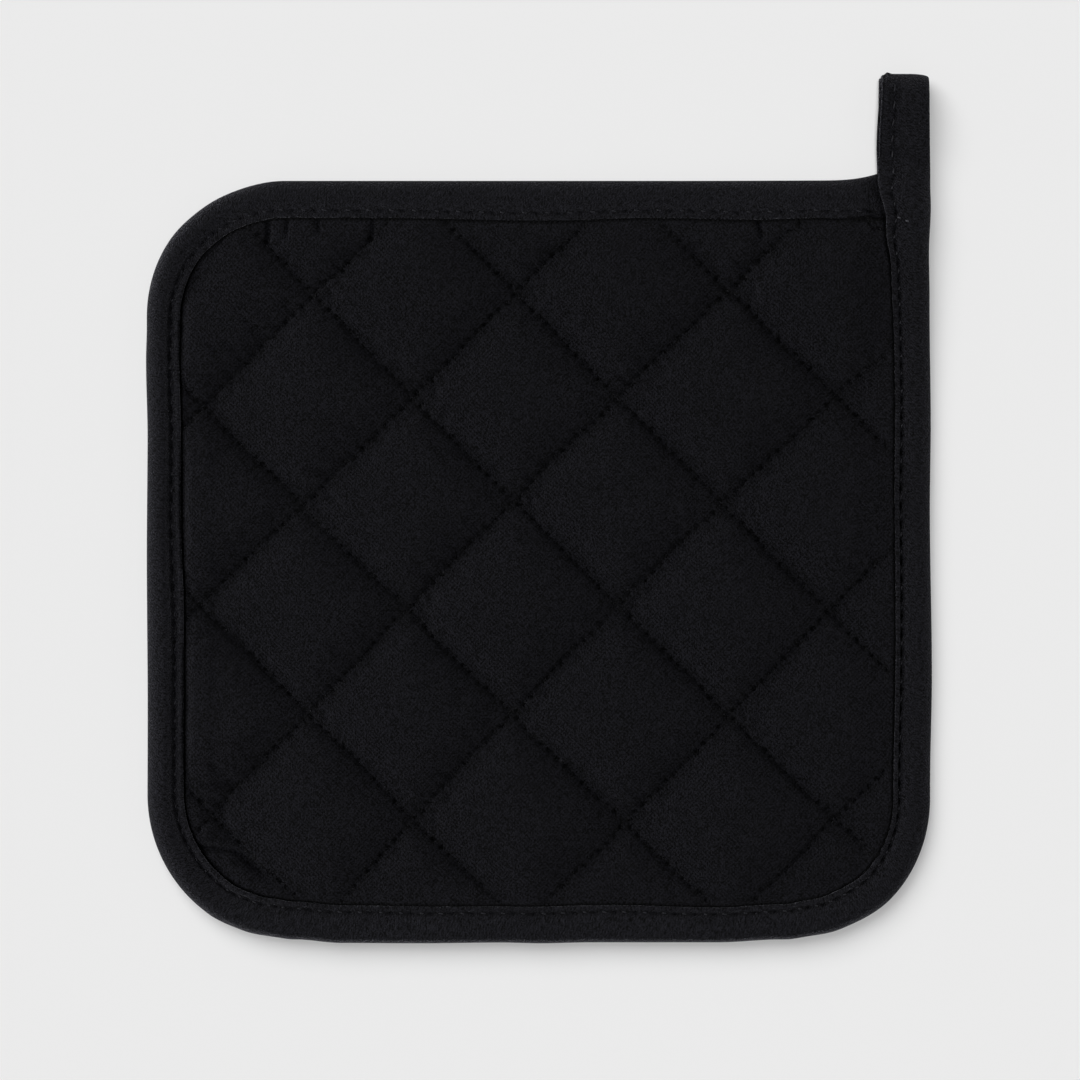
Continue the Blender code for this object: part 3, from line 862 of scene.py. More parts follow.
def nearest_on_line(x, y, line):
    """The nearest places on a closed line, and their lengths along it."""
    _, along = border_distance(x, y, line)
    closed = np.vstack([line, line[:1]])
    lengths = np.concatenate([[0.0], np.cumsum(np.linalg.norm(np.diff(closed, axis=0), axis=1))])
    place = np.array([np.interp(along, lengths, closed[:, axis]) for axis in (0, 1)]).T
    return place, along


def join_rims(upper, lower, upper_along, lower_along):
    """Triangles between two rims that run the same way, each with its own number of points."""
    past_end = 10.0
    faces = []
    i = j = 0
    while i < len(upper) or j < len(lower):
        next_upper = upper_along[i + 1] if i + 1 < len(upper) else past_end + i - len(upper)
        next_lower = lower_along[j + 1] if j + 1 < len(lower) else past_end + j - len(lower)
        a, b = upper[i % len(upper)], lower[j % len(lower)]
        if (next_upper <= next_lower and i < len(upper)) or j >= len(lower):
            i += 1
            faces.append((a, b, upper[i % len(upper)]))
        else:
            j += 1
            faces.append((a, b, lower[j % len(lower)]))
    return faces


def quilted_pad(stations, sizes, material):
    """The filled pad: both quilted faces, joined round their cut edge."""
    pad = PadShape(stations, sizes)
    pad.fill()
    face, face_quads, face_rim, face_along, face_numbers = pad_sheet(pad, pad.face, FACE_DIVISIONS)
    back, back_quads, back_rim, back_along, back_numbers = pad_sheet(pad, pad.back, BACK_DIVISIONS)
    offset = len(face)
    faces = face_quads[:, ::-1].tolist() + (back_quads + offset).tolist()
    faces += join_rims(face_rim.tolist(), (back_rim + offset).tolist(), face_along, back_along)
    piece = make_mesh("pad_quilted", np.vstack([face, back]), faces, material)
    numbers = np.hstack([face_numbers, back_numbers])
    add_uv(piece, "quilting", *numbers)
    # Distance inside the binding's inner edge, for the painted shade in the crease along it
    add_uv(piece, "from_binding", *border_distance(*to_plan(*numbers), pad.inner))
    return piece


# ---------------------------------------------------------------- binding tape and loop


def edge_holes(stations, sizes):
    """Lengths along the tape where the needle went through it."""
    shares = stations.eased(EDGE_STITCHES)[:, 0]
    at = float(stations.along[np.argmax(stations.side == "top")]) + FIRST_HOLE
    holes = []
    while at < stations.along[-1] - LAST_HOLE:
        holes.append(at)
        at += sizes.edge_stitch * float(stations.read(shares, at))
    return np.array(holes)


def tape_section(stations, sizes):
    """The middle of the tape's cloth in section, station by station: distance in from the fold,
    height from the section's middle, from the turned-in edge above to the one below."""
    # All in millimetres, up to the last line
    width, inset, height = stations.width / MM, stations.inset / MM, stations.height / MM
    along, half_cloth = stations.along / MM, TAPE_CLOTH / MM / 2.0
    seam, none = width - inset, np.zeros_like(width)
    _, dip, rise = stations.eased(EDGE_STITCHES).T
    rounding, crown = stations.eased(TAPE_DOMES).T
    # The stitching doesn't draw the tape in where the loop turns back, and most at a needle hole
    turns_back = np.abs(stations.fold[:, 1] - LOOP_TOP) < 3.5 * MM
    dip = sizes.stitch_dip * np.where(turns_back, 0.0, np.minimum(dip, 0.15 * height))
    dip = np.convolve(np.pad(dip, 3, mode="edge"), np.ones(7) / 7.0, mode="valid")
    near = np.abs(along[:, None] - edge_holes(stations, sizes)[None, :] / MM).min(axis=1)
    dip = dip * (0.65 + 0.9 * bell(near, 0.9))
    closed = smooth((6.0 - height) / 3.0)
    turned = np.where(height > 4.0, 0.85 + 0.25 * smooth(rise / 0.15), 0.74)
    roll = 0.5 * (turned - 0.2)
    depths, levels = [], []
    for face, seed, roughness in ((1.0, 21, 0.11), (-1.0, 24, 0.05)):
        upper = max(0.0, face)
        swell = rise * upper
        dome = crown * (1.0 - closed) * upper
        start = seam * rounding if face > 0.0 else np.minimum(seam * 0.5, width * 0.22)
        # The closed tape's edge is rounded off, and lies a little inside the one below
        lip = closed * smooth(rise / 0.2) * upper
        drop = 0.75 * lip
        centre = width - half_cloth - roll - 0.6 * lip
        beside = width - np.minimum(1.1, 0.55 * inset) - 0.5 * closed - 0.6 * lip
        path = [
            (none + 2.3, turned),
            (width * 0.45, turned),
            (seam, turned + dip * 0.9),
            (width - 1.1, turned + dip * 0.2 - swell * 0.8),
            (centre, half_cloth + 2.0 * roll - swell),
            (centre + roll * 0.72, half_cloth + 1.7 * roll - swell + drop * 0.3),
            (centre + roll, half_cloth + roll - swell + drop * 0.6),
            (centre + roll * 0.72, half_cloth + 0.3 * roll - swell + drop * 0.85),
            (centre, half_cloth - swell + drop),
            (beside, half_cloth + dip * 0.2 - swell * 0.7 - drop * 0.3),
            (seam + 0.45, half_cloth + dip * 0.8),
            (seam, half_cloth + dip),
            (seam - 0.35, half_cloth + dip * 0.85),
            (seam - 1.0, half_cloth + dip * 0.35 - dome * 0.3),
            (start + (seam - start) * 0.3, half_cloth - dome * 0.75),
            (start + (seam - start) * 0.1, half_cloth - dome),
        ]
        half = height / 2.0 - half_cloth + dome
        for angle in (6.0, 24.0, 44.0, 64.0, 80.0):
            turn = math.radians(angle)
            depth = half_cloth + (start - half_cloth) * (1.0 - math.sin(turn))
            path.append((depth, half_cloth - dome + half * (1.0 - math.cos(turn))))
        # The tape is uneven outside, and even where it is turned in
        steps = list(zip(path, np.clip((np.arange(len(path)) - 7.0) / 4.0, 0.0, 1.0)))
        if face < 0.0:
            depths.append(half_cloth + none)
            levels.append(none)
            steps = steps[::-1]
        for (depth, below), weight in steps:
            wander = unevenness(along / 11.0, depth / 6.0 + 20.0, seed)
            wander = wander + 0.5 * unevenness(along / 3.5, depth / 8.0 + 20.0, seed + 1)
            shift = weight * roughness * wander * np.minimum(1.0, height / 5.0)
            depths.append(depth)
            levels.append(face * (height / 2.0 - below + shift))
    return np.array(depths) * MM, np.array(levels) * MM


def outer_level(stations, depth, level, at, distance):
    """Height of the tape's upper surface at a length along it and a distance in from its fold."""
    rows = range(len(depth) // 2 - 2, STITCH_ROW - 1, -1)
    depths, levels = ([float(stations.read(values[row], at)) for row in rows] for values in (depth, level))
    return float(np.interp(distance, depths, levels)) + TAPE_CLOTH / 2.0


def press_under_corner(stations, points, ring_level):
    """Draw the top strip down where the strip up the right side lies over it."""
    over = np.nonzero((stations.side == "right") | (stations.side == "loop"))[0][:UPWARD_STATIONS]
    inner_edge = stations.fold[over, 0] - stations.width[over]
    edge = np.interp(points[:, :, 1], stations.fold[over, 1], inner_edge)
    upper = smooth(ring_level / (1.5 * MM)) * np.isin(stations.side, ("top", "tongue"))
    points[:, :, 2] -= 0.6 * MM * bell(edge + 0.1 * MM - points[:, :, 0], 0.45 * MM) * upper
    points[:, :, 2] = np.maximum(0.0, points[:, :, 2])


def bound_edge(stations, sizes, material):
    """The folded tape swept round the pad's edge, closed beyond the corner and turned back."""
    depth, level = tape_section(stations, sizes)
    run = np.gradient(depth, axis=0), np.gradient(level, axis=0)
    size = np.hypot(*run) / (TAPE_CLOTH / 2.0)
    out = run[1] / size, -run[0] / size
    ring_depth = np.vstack([depth + out[0], (depth - out[0])[::-1]])
    ring_level = np.vstack([level + out[1], (level - out[1])[::-1]])
    points = (
        stations.middle[None, :, :]
        + stations.inward[None, :, :] * ring_depth[:, :, None]
        + stations.up[None, :, :] * ring_level[:, :, None]
    )
    points[:, :, 2] += lift(points[:, :, 0], points[:, :, 1])
    press_under_corner(stations, points, ring_level)
    ring, count = ring_depth.shape
    points = points.transpose(1, 0, 2).reshape(-1, 3)
    index = np.arange(count * ring).reshape(count, ring)
    one, two = index[:-1], index[1:]
    quads = np.stack([one, np.roll(one, -1, axis=1), np.roll(two, -1, axis=1), two], axis=-1).reshape(-1, 4)
    caps = []
    for row, turned in ((0, False), (count - 1, True)):
        for k in range(ring // 2 - 1):
            quad = (index[row, k], index[row, ring - 1 - k], index[row, ring - 2 - k], index[row, k + 1])
            caps.append(quad[::-1] if turned else quad)
    piece = make_mesh("binding_tape", points, quads.tolist() + caps, material)
    across = np.hypot(np.diff(depth.mean(axis=1)), np.diff(level.mean(axis=1)))
    across = np.concatenate([[0.0], np.cumsum(across)])
    across = np.concatenate([across, across[::-1]])
    along = np.repeat(stations.along, ring)
    add_uv(piece, "tape", along, np.tile(across, count))
    # Distance from the stitching for the tape's painted shade in the stitched groove, made longer on the
    # sides where that shade is weaker
    rows = (STITCH_ROW, len(depth) - 1 - STITCH_ROW)
    away = np.minimum(*(np.abs(across - across[row]) for row in rows))
    short = np.repeat(stations.eased(STITCH_SHADES)[:, 0] * MM, ring)
    add_uv(piece, "from_stitching", np.tile(away, count) + short, along)
    return piece


# ---------------------------------------------------------------- sewing thread


def model_stitch(name):
    """One stitch a millimetre long and thick: a short thread whose ends dive into the cloth."""
    bpy.ops.object.select_all(action="DESELECT")
    bpy.ops.mesh.primitive_cylinder_add(vertices=6, radius=0.5 * MM, depth=1.0 * MM, end_fill_type="NOTHING")
    stitch = bpy.context.object
    stitch.name = name
    bpy.ops.object.mode_set(mode="EDIT")
    bpy.ops.mesh.select_all(action="SELECT")
    bpy.ops.transform.rotate(value=math.pi / 2.0, orient_axis="Y", center_override=(0.0, 0.0, 0.0))
    for place in (-0.36, -0.16, 0.16, 0.36):
        bpy.ops.mesh.select_all(action="SELECT")
        bpy.ops.mesh.bisect(plane_co=(place * MM, 0.0, 0.0), plane_no=(1.0, 0.0, 0.0))
    bpy.ops.mesh.select_all(action="SELECT")
    bpy.ops.mesh.region_to_loop()
    bpy.ops.mesh.edge_face_add()
    bpy.ops.object.mode_set(mode="OBJECT")
    bm = bmesh.new()
    bm.from_mesh(stitch.data)
    for vert in bm.verts:
        end = abs(vert.co.x) / (0.5 * MM)
        slim = 1.0 - 0.35 * max(0.0, end - 0.6) / 0.4
        vert.co.y *= slim
        vert.co.z *= slim
    bmesh.ops.recalc_face_normals(bm, faces=bm.faces[:])
    bm.to_mesh(stitch.data)
    bm.free()
    return stitch


def copy_stitches(name, stitch, starts, ends, ups, thickness, dive, material):
    """Copies of one stitch from needle hole to needle hole, joined in one mesh."""
    shape = np.array([vert.co[:] for vert in stitch.data.vertices]) / MM
    run = ends - starts
    length = np.linalg.norm(run, axis=1)[:, None]
    run = run / length
    side = np.cross(ups, run)
    side /= np.linalg.norm(side, axis=1)[:, None]
    up = np.cross(run, side)
    share, across, high = (shape[None, :, axis : axis + 1] for axis in range(3))
    sink = (np.maximum(0.0, np.abs(share) * 2.0 - 0.62) / 0.38) ** 2
    points = (
        (starts + ends)[:, None, :] / 2.0
        + (run * length)[:, None, :] * share
        + side[:, None, :] * across * thickness
        + up[:, None, :] * (high * thickness - dive * sink)
    )
    count = len(stitch.data.vertices)
    polygons = [list(face.vertices) for face in stitch.data.polygons]
    faces = [[v + count * i for v in face] for i in range(len(starts)) for face in polygons]
    return make_mesh(name, points.reshape(-1, 3), faces, material)


def seam_stitches(pad, points_of, sizes, upside):
    """Needle holes along every quilting seam: starts and ends of the stitches."""
    starts, ends = [], []
    rng = np.random.default_rng(31 if upside > 0.0 else 32)
    step = sizes.quilting_stitch / DIAMOND
    gap = 0.3 * MM / DIAMOND
    for seams, others in ((FALLING_SEAMS, RISING_SEAMS), (RISING_SEAMS, FALLING_SEAMS)):
        for number in range(1, len(seams) - 1):
            holes = np.arange(math.ceil(0.1 / step), int((len(others) - 1.1) / step)) * step
            holes = holes + rng.uniform(-0.07, 0.07, len(holes)) * step
            pair, inside = [], []
            for at in (holes + gap, holes + step - gap):
                numbers = (np.full_like(at, number), at)
                points = points_of(*(numbers if seams is FALLING_SEAMS else numbers[::-1]))
                pair.append(points)
                inside.append(border_distance(points[:, 0], points[:, 1], pad.inner[::3])[0])
            shown = np.minimum(*inside) > 0.3 * MM
            starts.append(pair[0][shown])
            ends.append(pair[1][shown])
    starts, ends = np.vstack(starts), np.vstack(ends)
    sway = rng.uniform(-0.12, 0.12, (len(starts), 2)) * MM
    starts[:, :2] += sway
    ends[:, :2] -= sway
    for points in (starts, ends):
        points[:, 2] -= sizes.quilting_thread * 0.1 * upside
    return starts, ends, np.tile((0.0, 0.0, upside), (len(starts), 1))


# ---------------------------------------------------------------- materials

# What all the dyed cotton shares: matt, hardly any gloss, a soft bloom of loose fibres
COTTON = {
    "Roughness": 0.9,
    "IOR": 1.45,
    "Specular IOR Level": 0.06,
    "Sheen Weight": 0.06,
    "Sheen Roughness": 0.35,
    "Sheen Tint": hex_colour("c8c8d2"),
}
CLOTH_BUMP = 0.5 * MM
THREAD_BUMP = 0.1 * MM
FINE_GRAIN = {"Detail": 2.0, "Roughness": 0.6}
# The weave's waves, in radians a millimetre: threads cross every 0.56 mm, coarser than real, so
# that they show
WEAVE = 5.6 / MM
# Slubs, threads 0.33 mm thick that vary over 1.25 mm of their length, counted a millimetre each way
SLUBS = ((0.8 / MM, 3.0 / MM, 0.8 / MM), (3.0 / MM, 0.8 / MM, 0.8 / MM))
# Weft threads across the tape, 0.43 mm thick and uneven over 1.1 mm, counted in the same way
WEFT = (2.3 / MM, 0.9 / MM, 1.0)
# Ribs of the twill tape, spaced along it and coarser than real, so that they show
TWILL_RIB = 0.85 * MM
# Loose fibres and uneven yarn, fibres of the sewing thread, patches of dye and strayings of the
# needle holes, counted a millimetre
FIBRES = 2.25 / MM
THREAD_FIBRES = 3.5 / MM
DYE_PATCHES = 0.033 / MM
HOLE_STRAYINGS = 0.62 / MM
# Span of the noise that moves a needle hole off its place
HOLE_SWAY = 3.4 * MM
# How far from a seam the painted shade in its needle holes reaches, and the painted shade that stands in for
# the shading of its puckers
HOLE_REACH = 0.85 * MM
SEAM_REACH = 4.5 * MM
# Where the painted shade in the crease along the binding is deepest, and where it ends
CREASE_SHADE = (0.1 * MM, 1.1 * MM)


def add_node(tree, kind, inputs=(), output=0, **settings):
    """Add a node with its settings. Its inputs, by name or in their order, get values or links."""
    node = tree.nodes.new("ShaderNode" + kind)
    for name, value in settings.items():
        setattr(node, name, value)
    for name, value in inputs.items() if isinstance(inputs, dict) else enumerate(inputs):
        if isinstance(value, bpy.types.NodeSocket):
            tree.links.new(value, node.inputs[name])
        else:
            node.inputs[name].default_value = value
    return node.outputs[output] if node.outputs else None


def new_material(name, look):
    """A material with its output and its shader, whose values are the look."""
    material = bpy.data.materials.new(name)
    material.use_nodes = True
    tree = material.node_tree
    tree.nodes.clear()
    surface = add_node(tree, "BsdfPrincipled", look)
    add_node(tree, "OutputMaterial", {"Surface": surface})
    return material, tree, surface.node


def dye(tree, shader, colour, tone, normal):
    """Give a shader its colour, lighter and darker by a tone, and its rough surface."""
    dyed = add_node(tree, "VectorMath", {0: tuple(colour)[:3], "Scale": tone}, operation="SCALE")
    tree.links.new(dyed, shader.inputs["Base Color"])
    tree.links.new(normal, shader.inputs["Normal"])


def seam_offset(tree, across):
    """Distance from the nearest seam, counted in seams."""
    moved = add_node(tree, "Math", (across, 0.5), operation="ADD")
    share = add_node(tree, "Math", (moved,), operation="FRACT")
    offset = add_node(tree, "Math", (share, 0.5), operation="SUBTRACT")
    return add_node(tree, "Math", (offset,), operation="ABSOLUTE")


def needle_holes(tree, across, along, stitch):
    """How deep a point lies in a seam's row of needle holes, 0 to 1, from places counted in seams."""
    reach = (seam_offset(tree, across), 0.0, HOLE_REACH / DIAMOND, 1.0, 0.0)
    near = add_node(tree, "MapRange", reach, interpolation_type="SMOOTHSTEP")
    turn = add_node(tree, "Math", (along, 2.0 * math.pi * DIAMOND / stitch), operation="MULTIPLY")
    wave = add_node(tree, "Math", (turn,), operation="COSINE")
    hole = add_node(tree, "MapRange", (wave, -0.35, 1.0, 0.12, 1.0))
    return add_node(tree, "Math", (near, hole), operation="MULTIPLY")


def plain_weave_cotton(colours, sizes):
    """Dyed cotton cloth in a plain weave: a fine matt grain, drawn in at every needle hole, with shade
    painted into its colour in the needle holes, beside the seams and along the binding's crease.
    """
    material, tree, shader = new_material("cotton_plain_weave_black", COTTON)
    place = add_node(tree, "TexCoord", output="Object")
    threads = add_node(tree, "Mapping", {"Vector": place, "Scale": (WEAVE, WEAVE, WEAVE)})
    threads = [add_node(tree, "SeparateXYZ", (threads,), axis) for axis in "XY"]
    weave = [add_node(tree, "Math", (thread,), operation="SINE") for thread in threads]
    weave = add_node(tree, "Math", weave, operation="MULTIPLY")
    slubs = []
    for scale in SLUBS:
        turned = add_node(tree, "Mapping", {"Vector": place, "Scale": scale})
        slubs.append(add_node(tree, "TexNoise", {"Vector": turned, "Scale": 1.0, **FINE_GRAIN}))
    slubs = add_node(tree, "Math", slubs, operation="ADD")
    yarn = add_node(tree, "TexNoise", {"Vector": place, "Scale": FIBRES, **FINE_GRAIN})
    woven = add_node(tree, "Math", (weave, 0.09, yarn), operation="MULTIPLY_ADD")
    height = add_node(tree, "Math", (slubs, 0.5, woven), operation="MULTIPLY_ADD")
    rough = add_node(tree, "Bump", {"Strength": 1.0, "Distance": CLOTH_BUMP, "Height": height})
    # Needle holes in the quilting seams, a little off their places
    sway = add_node(tree, "TexNoise", {"Vector": place, "Scale": HOLE_STRAYINGS, "Detail": 2.0}, "Color")
    sway = add_node(tree, "VectorMath", (sway, (0.5, 0.5, 0.5)), operation="SUBTRACT")
    sway = add_node(tree, "VectorMath", {0: sway, "Scale": HOLE_SWAY / DIAMOND}, operation="SCALE")
    number = add_node(tree, "UVMap", uv_map="quilting")
    number = add_node(tree, "VectorMath", (number, sway), operation="ADD")
    falling, rising = (add_node(tree, "SeparateXYZ", (number,), axis) for axis in "XY")
    pairs = (falling, rising), (rising, falling)
    rows = [needle_holes(tree, *pair, sizes.quilting_stitch) for pair in pairs]
    holes = add_node(tree, "Math", rows, operation="MAXIMUM")
    surface = {"Strength": 1.0, "Distance": CLOTH_BUMP, "Height": holes, "Normal": rough}
    drawn = add_node(tree, "Bump", surface, invert=True)
    # Dye that took a little unevenly
    patches = add_node(tree, "TexNoise", {"Vector": place, "Scale": DYE_PATCHES, "Detail": 2.0})
    patches = add_node(tree, "MapRange", (patches, 0.3, 0.7, 0.96, 1.04))
    # Painted shade: the colour is darkened in the needle holes, beside each seam, where it stands in for the
    # shading of the puckers, and in the crease along the binding's inner edge
    shades = [patches, add_node(tree, "MapRange", (holes, 0.0, 1.0, 1.0, 0.3))]
    offsets = [seam_offset(tree, across) for across in (falling, rising)]
    edge = add_node(tree, "SeparateXYZ", (add_node(tree, "UVMap", uv_map="from_binding"),))
    reaches = [(offset, 0.0, SEAM_REACH / DIAMOND, 0.85, 1.0) for offset in offsets]
    for reach in (*reaches, (edge, *CREASE_SHADE, 0.15, 1.0)):
        shades.append(add_node(tree, "MapRange", reach, interpolation_type="SMOOTHSTEP"))
    tone = add_node(tree, "MapRange", (height, 0.86, 1.14, 0.06, 1.86))
    for shade in shades:
        tone = add_node(tree, "Math", (tone, shade), operation="MULTIPLY")
    dye(tree, shader, colours.pad, tone, drawn)
    return material


def twill_tape_cotton(colours):
    """Dyed cotton tape in a twill weave: fine slanting ribs across the tape, no gloss, and shade painted
    into its colour in the stitched groove.
    """
    material, tree, shader = new_material("cotton_twill_tape_black", {**COTTON, "Sheen Weight": 0.15})
    flat = add_node(tree, "UVMap", uv_map="tape")
    place = add_node(tree, "TexCoord", output="Object")
    # Ribs at 45 degrees to the tape
    slant = [add_node(tree, "SeparateXYZ", (flat,), axis) for axis in "XY"]
    slant = add_node(tree, "Math", slant, operation="ADD")
    ribs = add_node(tree, "Math", (slant, 2.0 * math.pi / TWILL_RIB), operation="MULTIPLY")
    ribs = add_node(tree, "Math", (ribs,), operation="SINE")
    weft = add_node(tree, "Mapping", {"Vector": flat, "Scale": WEFT})
    weft = add_node(tree, "TexNoise", {"Vector": weft, "Scale": 1.0, **FINE_GRAIN})
    fuzz = add_node(tree, "TexNoise", {"Vector": place, "Scale": FIBRES, **FINE_GRAIN})
    height = add_node(tree, "Math", (ribs, 0.05, weft), operation="MULTIPLY_ADD")
    height = add_node(tree, "Math", (fuzz, 1.1, height), operation="MULTIPLY_ADD")
    rough = add_node(tree, "Bump", {"Strength": 1.0, "Distance": CLOTH_BUMP, "Height": height})
    # Painted shade: the colour is darkened in the groove that the stitching draws
    groove = add_node(tree, "SeparateXYZ", (add_node(tree, "UVMap", uv_map="from_stitching"),))
    shade = add_node(tree, "MapRange", (groove, 0.0, SHADE_REACH, 0.5, 1.0), interpolation_type="SMOOTHSTEP")
    tone = add_node(tree, "MapRange", (height, 0.82, 1.28, 0.0, 2.1))
    tone = add_node(tree, "Math", (tone, shade), operation="MULTIPLY")
    dye(tree, shader, colours.tape, tone, rough)
    return material


def spun_thread(name, colour):
    """Spun polyester sewing thread: a little smoother than the cotton, so it catches the light."""
    look = {"Roughness": 0.55, "IOR": 1.5, "Specular IOR Level": 0.12}
    material, tree, shader = new_material(name, look)
    place = add_node(tree, "TexCoord", output="Object")
    fibres = add_node(tree, "TexNoise", {"Vector": place, "Scale": THREAD_FIBRES, "Detail": 2.0})
    tone = add_node(tree, "MapRange", (fibres, 0.3, 0.7, 0.5, 1.5))
    rough = add_node(tree, "Bump", {"Strength": 0.5, "Distance": THREAD_BUMP, "Height": fibres})
    dye(tree, shader, colour, tone, rough)
    return material


def matt_board(colours):
    """Matt white board: even and without gloss."""
    look = {"Base Color": tuple(colours.floor), "Roughness": 1.0, "Specular IOR Level": 0.0}
    return new_material("matt_board_white", look)[0]


# ---------------------------------------------------------------- operators


class POTHOLDER_OT_quilted_pad(bpy.types.Operator):
    """Make the quilted pad around its solid"""

    bl_idname = "potholder.quilted_pad"
    bl_label = "Quilted Pad"
    bl_options = {"REGISTER", "UNDO"}

    def execute(self, context):
        sizes, colours = context.scene.pot_holder_sizes, context.scene.pot_holder_colours
        piece = quilted_pad(Stations(), sizes, plain_weave_cotton(colours, sizes))
        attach(piece, "root")
        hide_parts("quilted_pad")
        return {"FINISHED"}


class POTHOLDER_OT_binding_tape(bpy.types.Operator):
    """Make the tape that binds the edge and carries on as the hanging loop"""

    bl_idname = "potholder.binding_tape"
    bl_label = "Binding Tape and Loop"
    bl_options = {"REGISTER", "UNDO"}

    def execute(self, context):
        sizes, colours = context.scene.pot_holder_sizes, context.scene.pot_holder_colours
        stations = Stations()
        piece = bound_edge(stations, sizes, twill_tape_cotton(colours))
        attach(piece, "root")
        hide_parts("edge_binding", "hanging_loop")
        return {"FINISHED"}


class POTHOLDER_OT_quilting_thread(bpy.types.Operator):
    """Sew the quilting seams on both faces of the pad"""

    bl_idname = "potholder.quilting_thread"
    bl_label = "Quilting Thread"
    bl_options = {"REGISTER", "UNDO"}

    def execute(self, context):
        sizes, colours = context.scene.pot_holder_sizes, context.scene.pot_holder_colours
        pad = PadShape(Stations(), sizes)
        thread = spun_thread(BLACK_THREAD, colours.thread)
        stitch = model_stitch("stitch_pattern")
        faces = (("quilting_thread_face", pad.face, 1.0), ("quilting_thread_back", pad.back, -1.0))
        for name, points_of, upside in faces:
            rows = seam_stitches(pad, points_of, sizes, upside)
            piece = copy_stitches(name, stitch, *rows, sizes.quilting_thread, 0.35 * MM, thread)
            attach(piece, "root")
        bpy.data.objects.remove(stitch)
        return {"FINISHED"}


class POTHOLDER_OT_edge_thread(bpy.types.Operator):
    """Sew the binding tape and the loop, and tack the loop's end down"""

    bl_idname = "potholder.edge_thread"
    bl_label = "Edge Thread and Tack"
    bl_options = {"REGISTER", "UNDO"}

    def execute(self, context):
        sizes, colours = context.scene.pot_holder_sizes, context.scene.pot_holder_colours
        stations = Stations()
        section = tape_section(stations, sizes)
        stitch = model_stitch("stitch_pattern")
        thread = bpy.data.materials.get(BLACK_THREAD) or spun_thread(BLACK_THREAD, colours.thread)
        rng = np.random.default_rng(41)
        last = len(section[0]) - 1
        faces = (("edge_thread_face", STITCH_ROW, 1.0), ("edge_thread_back", last - STITCH_ROW, -1.0))
        for name, row, upside in faces:
            rows = self.topstitching(stations, section, sizes, row, upside, rng)
            piece = copy_stitches(name, stitch, *rows, sizes.edge_thread, 0.3 * MM, thread)
            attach(piece, "root")
        # Painted highlight: the tack is sewn with a lighter thread so that its two stitches show as glints
        glint_thread = spun_thread("spun_polyester_thread_painted_highlight", colours.tack)
        rows = self.tack(stations, section, sizes)
        piece = copy_stitches("loop_tack_thread", stitch, *rows, 1.15 * sizes.edge_thread, 0.2 * MM, glint_thread)
        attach(piece, "root")
        bpy.data.objects.remove(stitch)
        return {"FINISHED"}

    @staticmethod
    def topstitching(stations, section, sizes, row, upside, rng):
        """The stitches that show on one face of the tape: starts, ends and ways up."""
        depth, level = section
        holes = edge_holes(stations, sizes)
        middle = (holes[:-1] + holes[1:]) / 2.0 + rng.uniform(-0.25, 0.25, len(holes) - 1) * MM
        on_loop = stations.read(stations.side == "loop", middle) > 0.5
        shown = np.where(on_loop, SHOWN_ON_LOOP, SHOWN_ON_BINDING)
        half = np.diff(holes) * shown * rng.uniform(0.85, 1.15, len(middle))
        on_tape = stations.read(level[row], middle) + upside * (TAPE_CLOTH / 2.0 + 0.12 * sizes.edge_thread)
        starts, ends = (
            stations.place(at, stations.read(depth[row], at) + slant * MM, on_tape)
            for at, slant in ((middle - half, 0.14), (middle + half, -0.14))
        )
        ups = np.array([stations.read(stations.up[:, axis], middle) for axis in range(3)]).T * upside
        return starts, ends, ups

    @staticmethod
    def tack(stations, section, sizes):
        """Two short stitches that hold the loop's end, across the strip up the right side."""
        right = stations.side == "right"
        starts, ends = [], []
        for x, y in np.array(TACK_PLACES) * MM:
            at = float(np.interp(y, stations.fold[right, 1], stations.along[right]))
            high = outer_level(stations, *section, at, HALF_WIDTH - x) + 0.3 * sizes.edge_thread
            for row, shift in ((starts, -TACK_STITCH / 2.0), (ends, TACK_STITCH / 2.0)):
                row.append(stations.place(np.array([at - shift * 0.3]), HALF_WIDTH - x - shift, high)[0])
        return np.array(starts), np.array(ends), np.tile((0.0, 0.0, 1.0), (len(starts), 1))


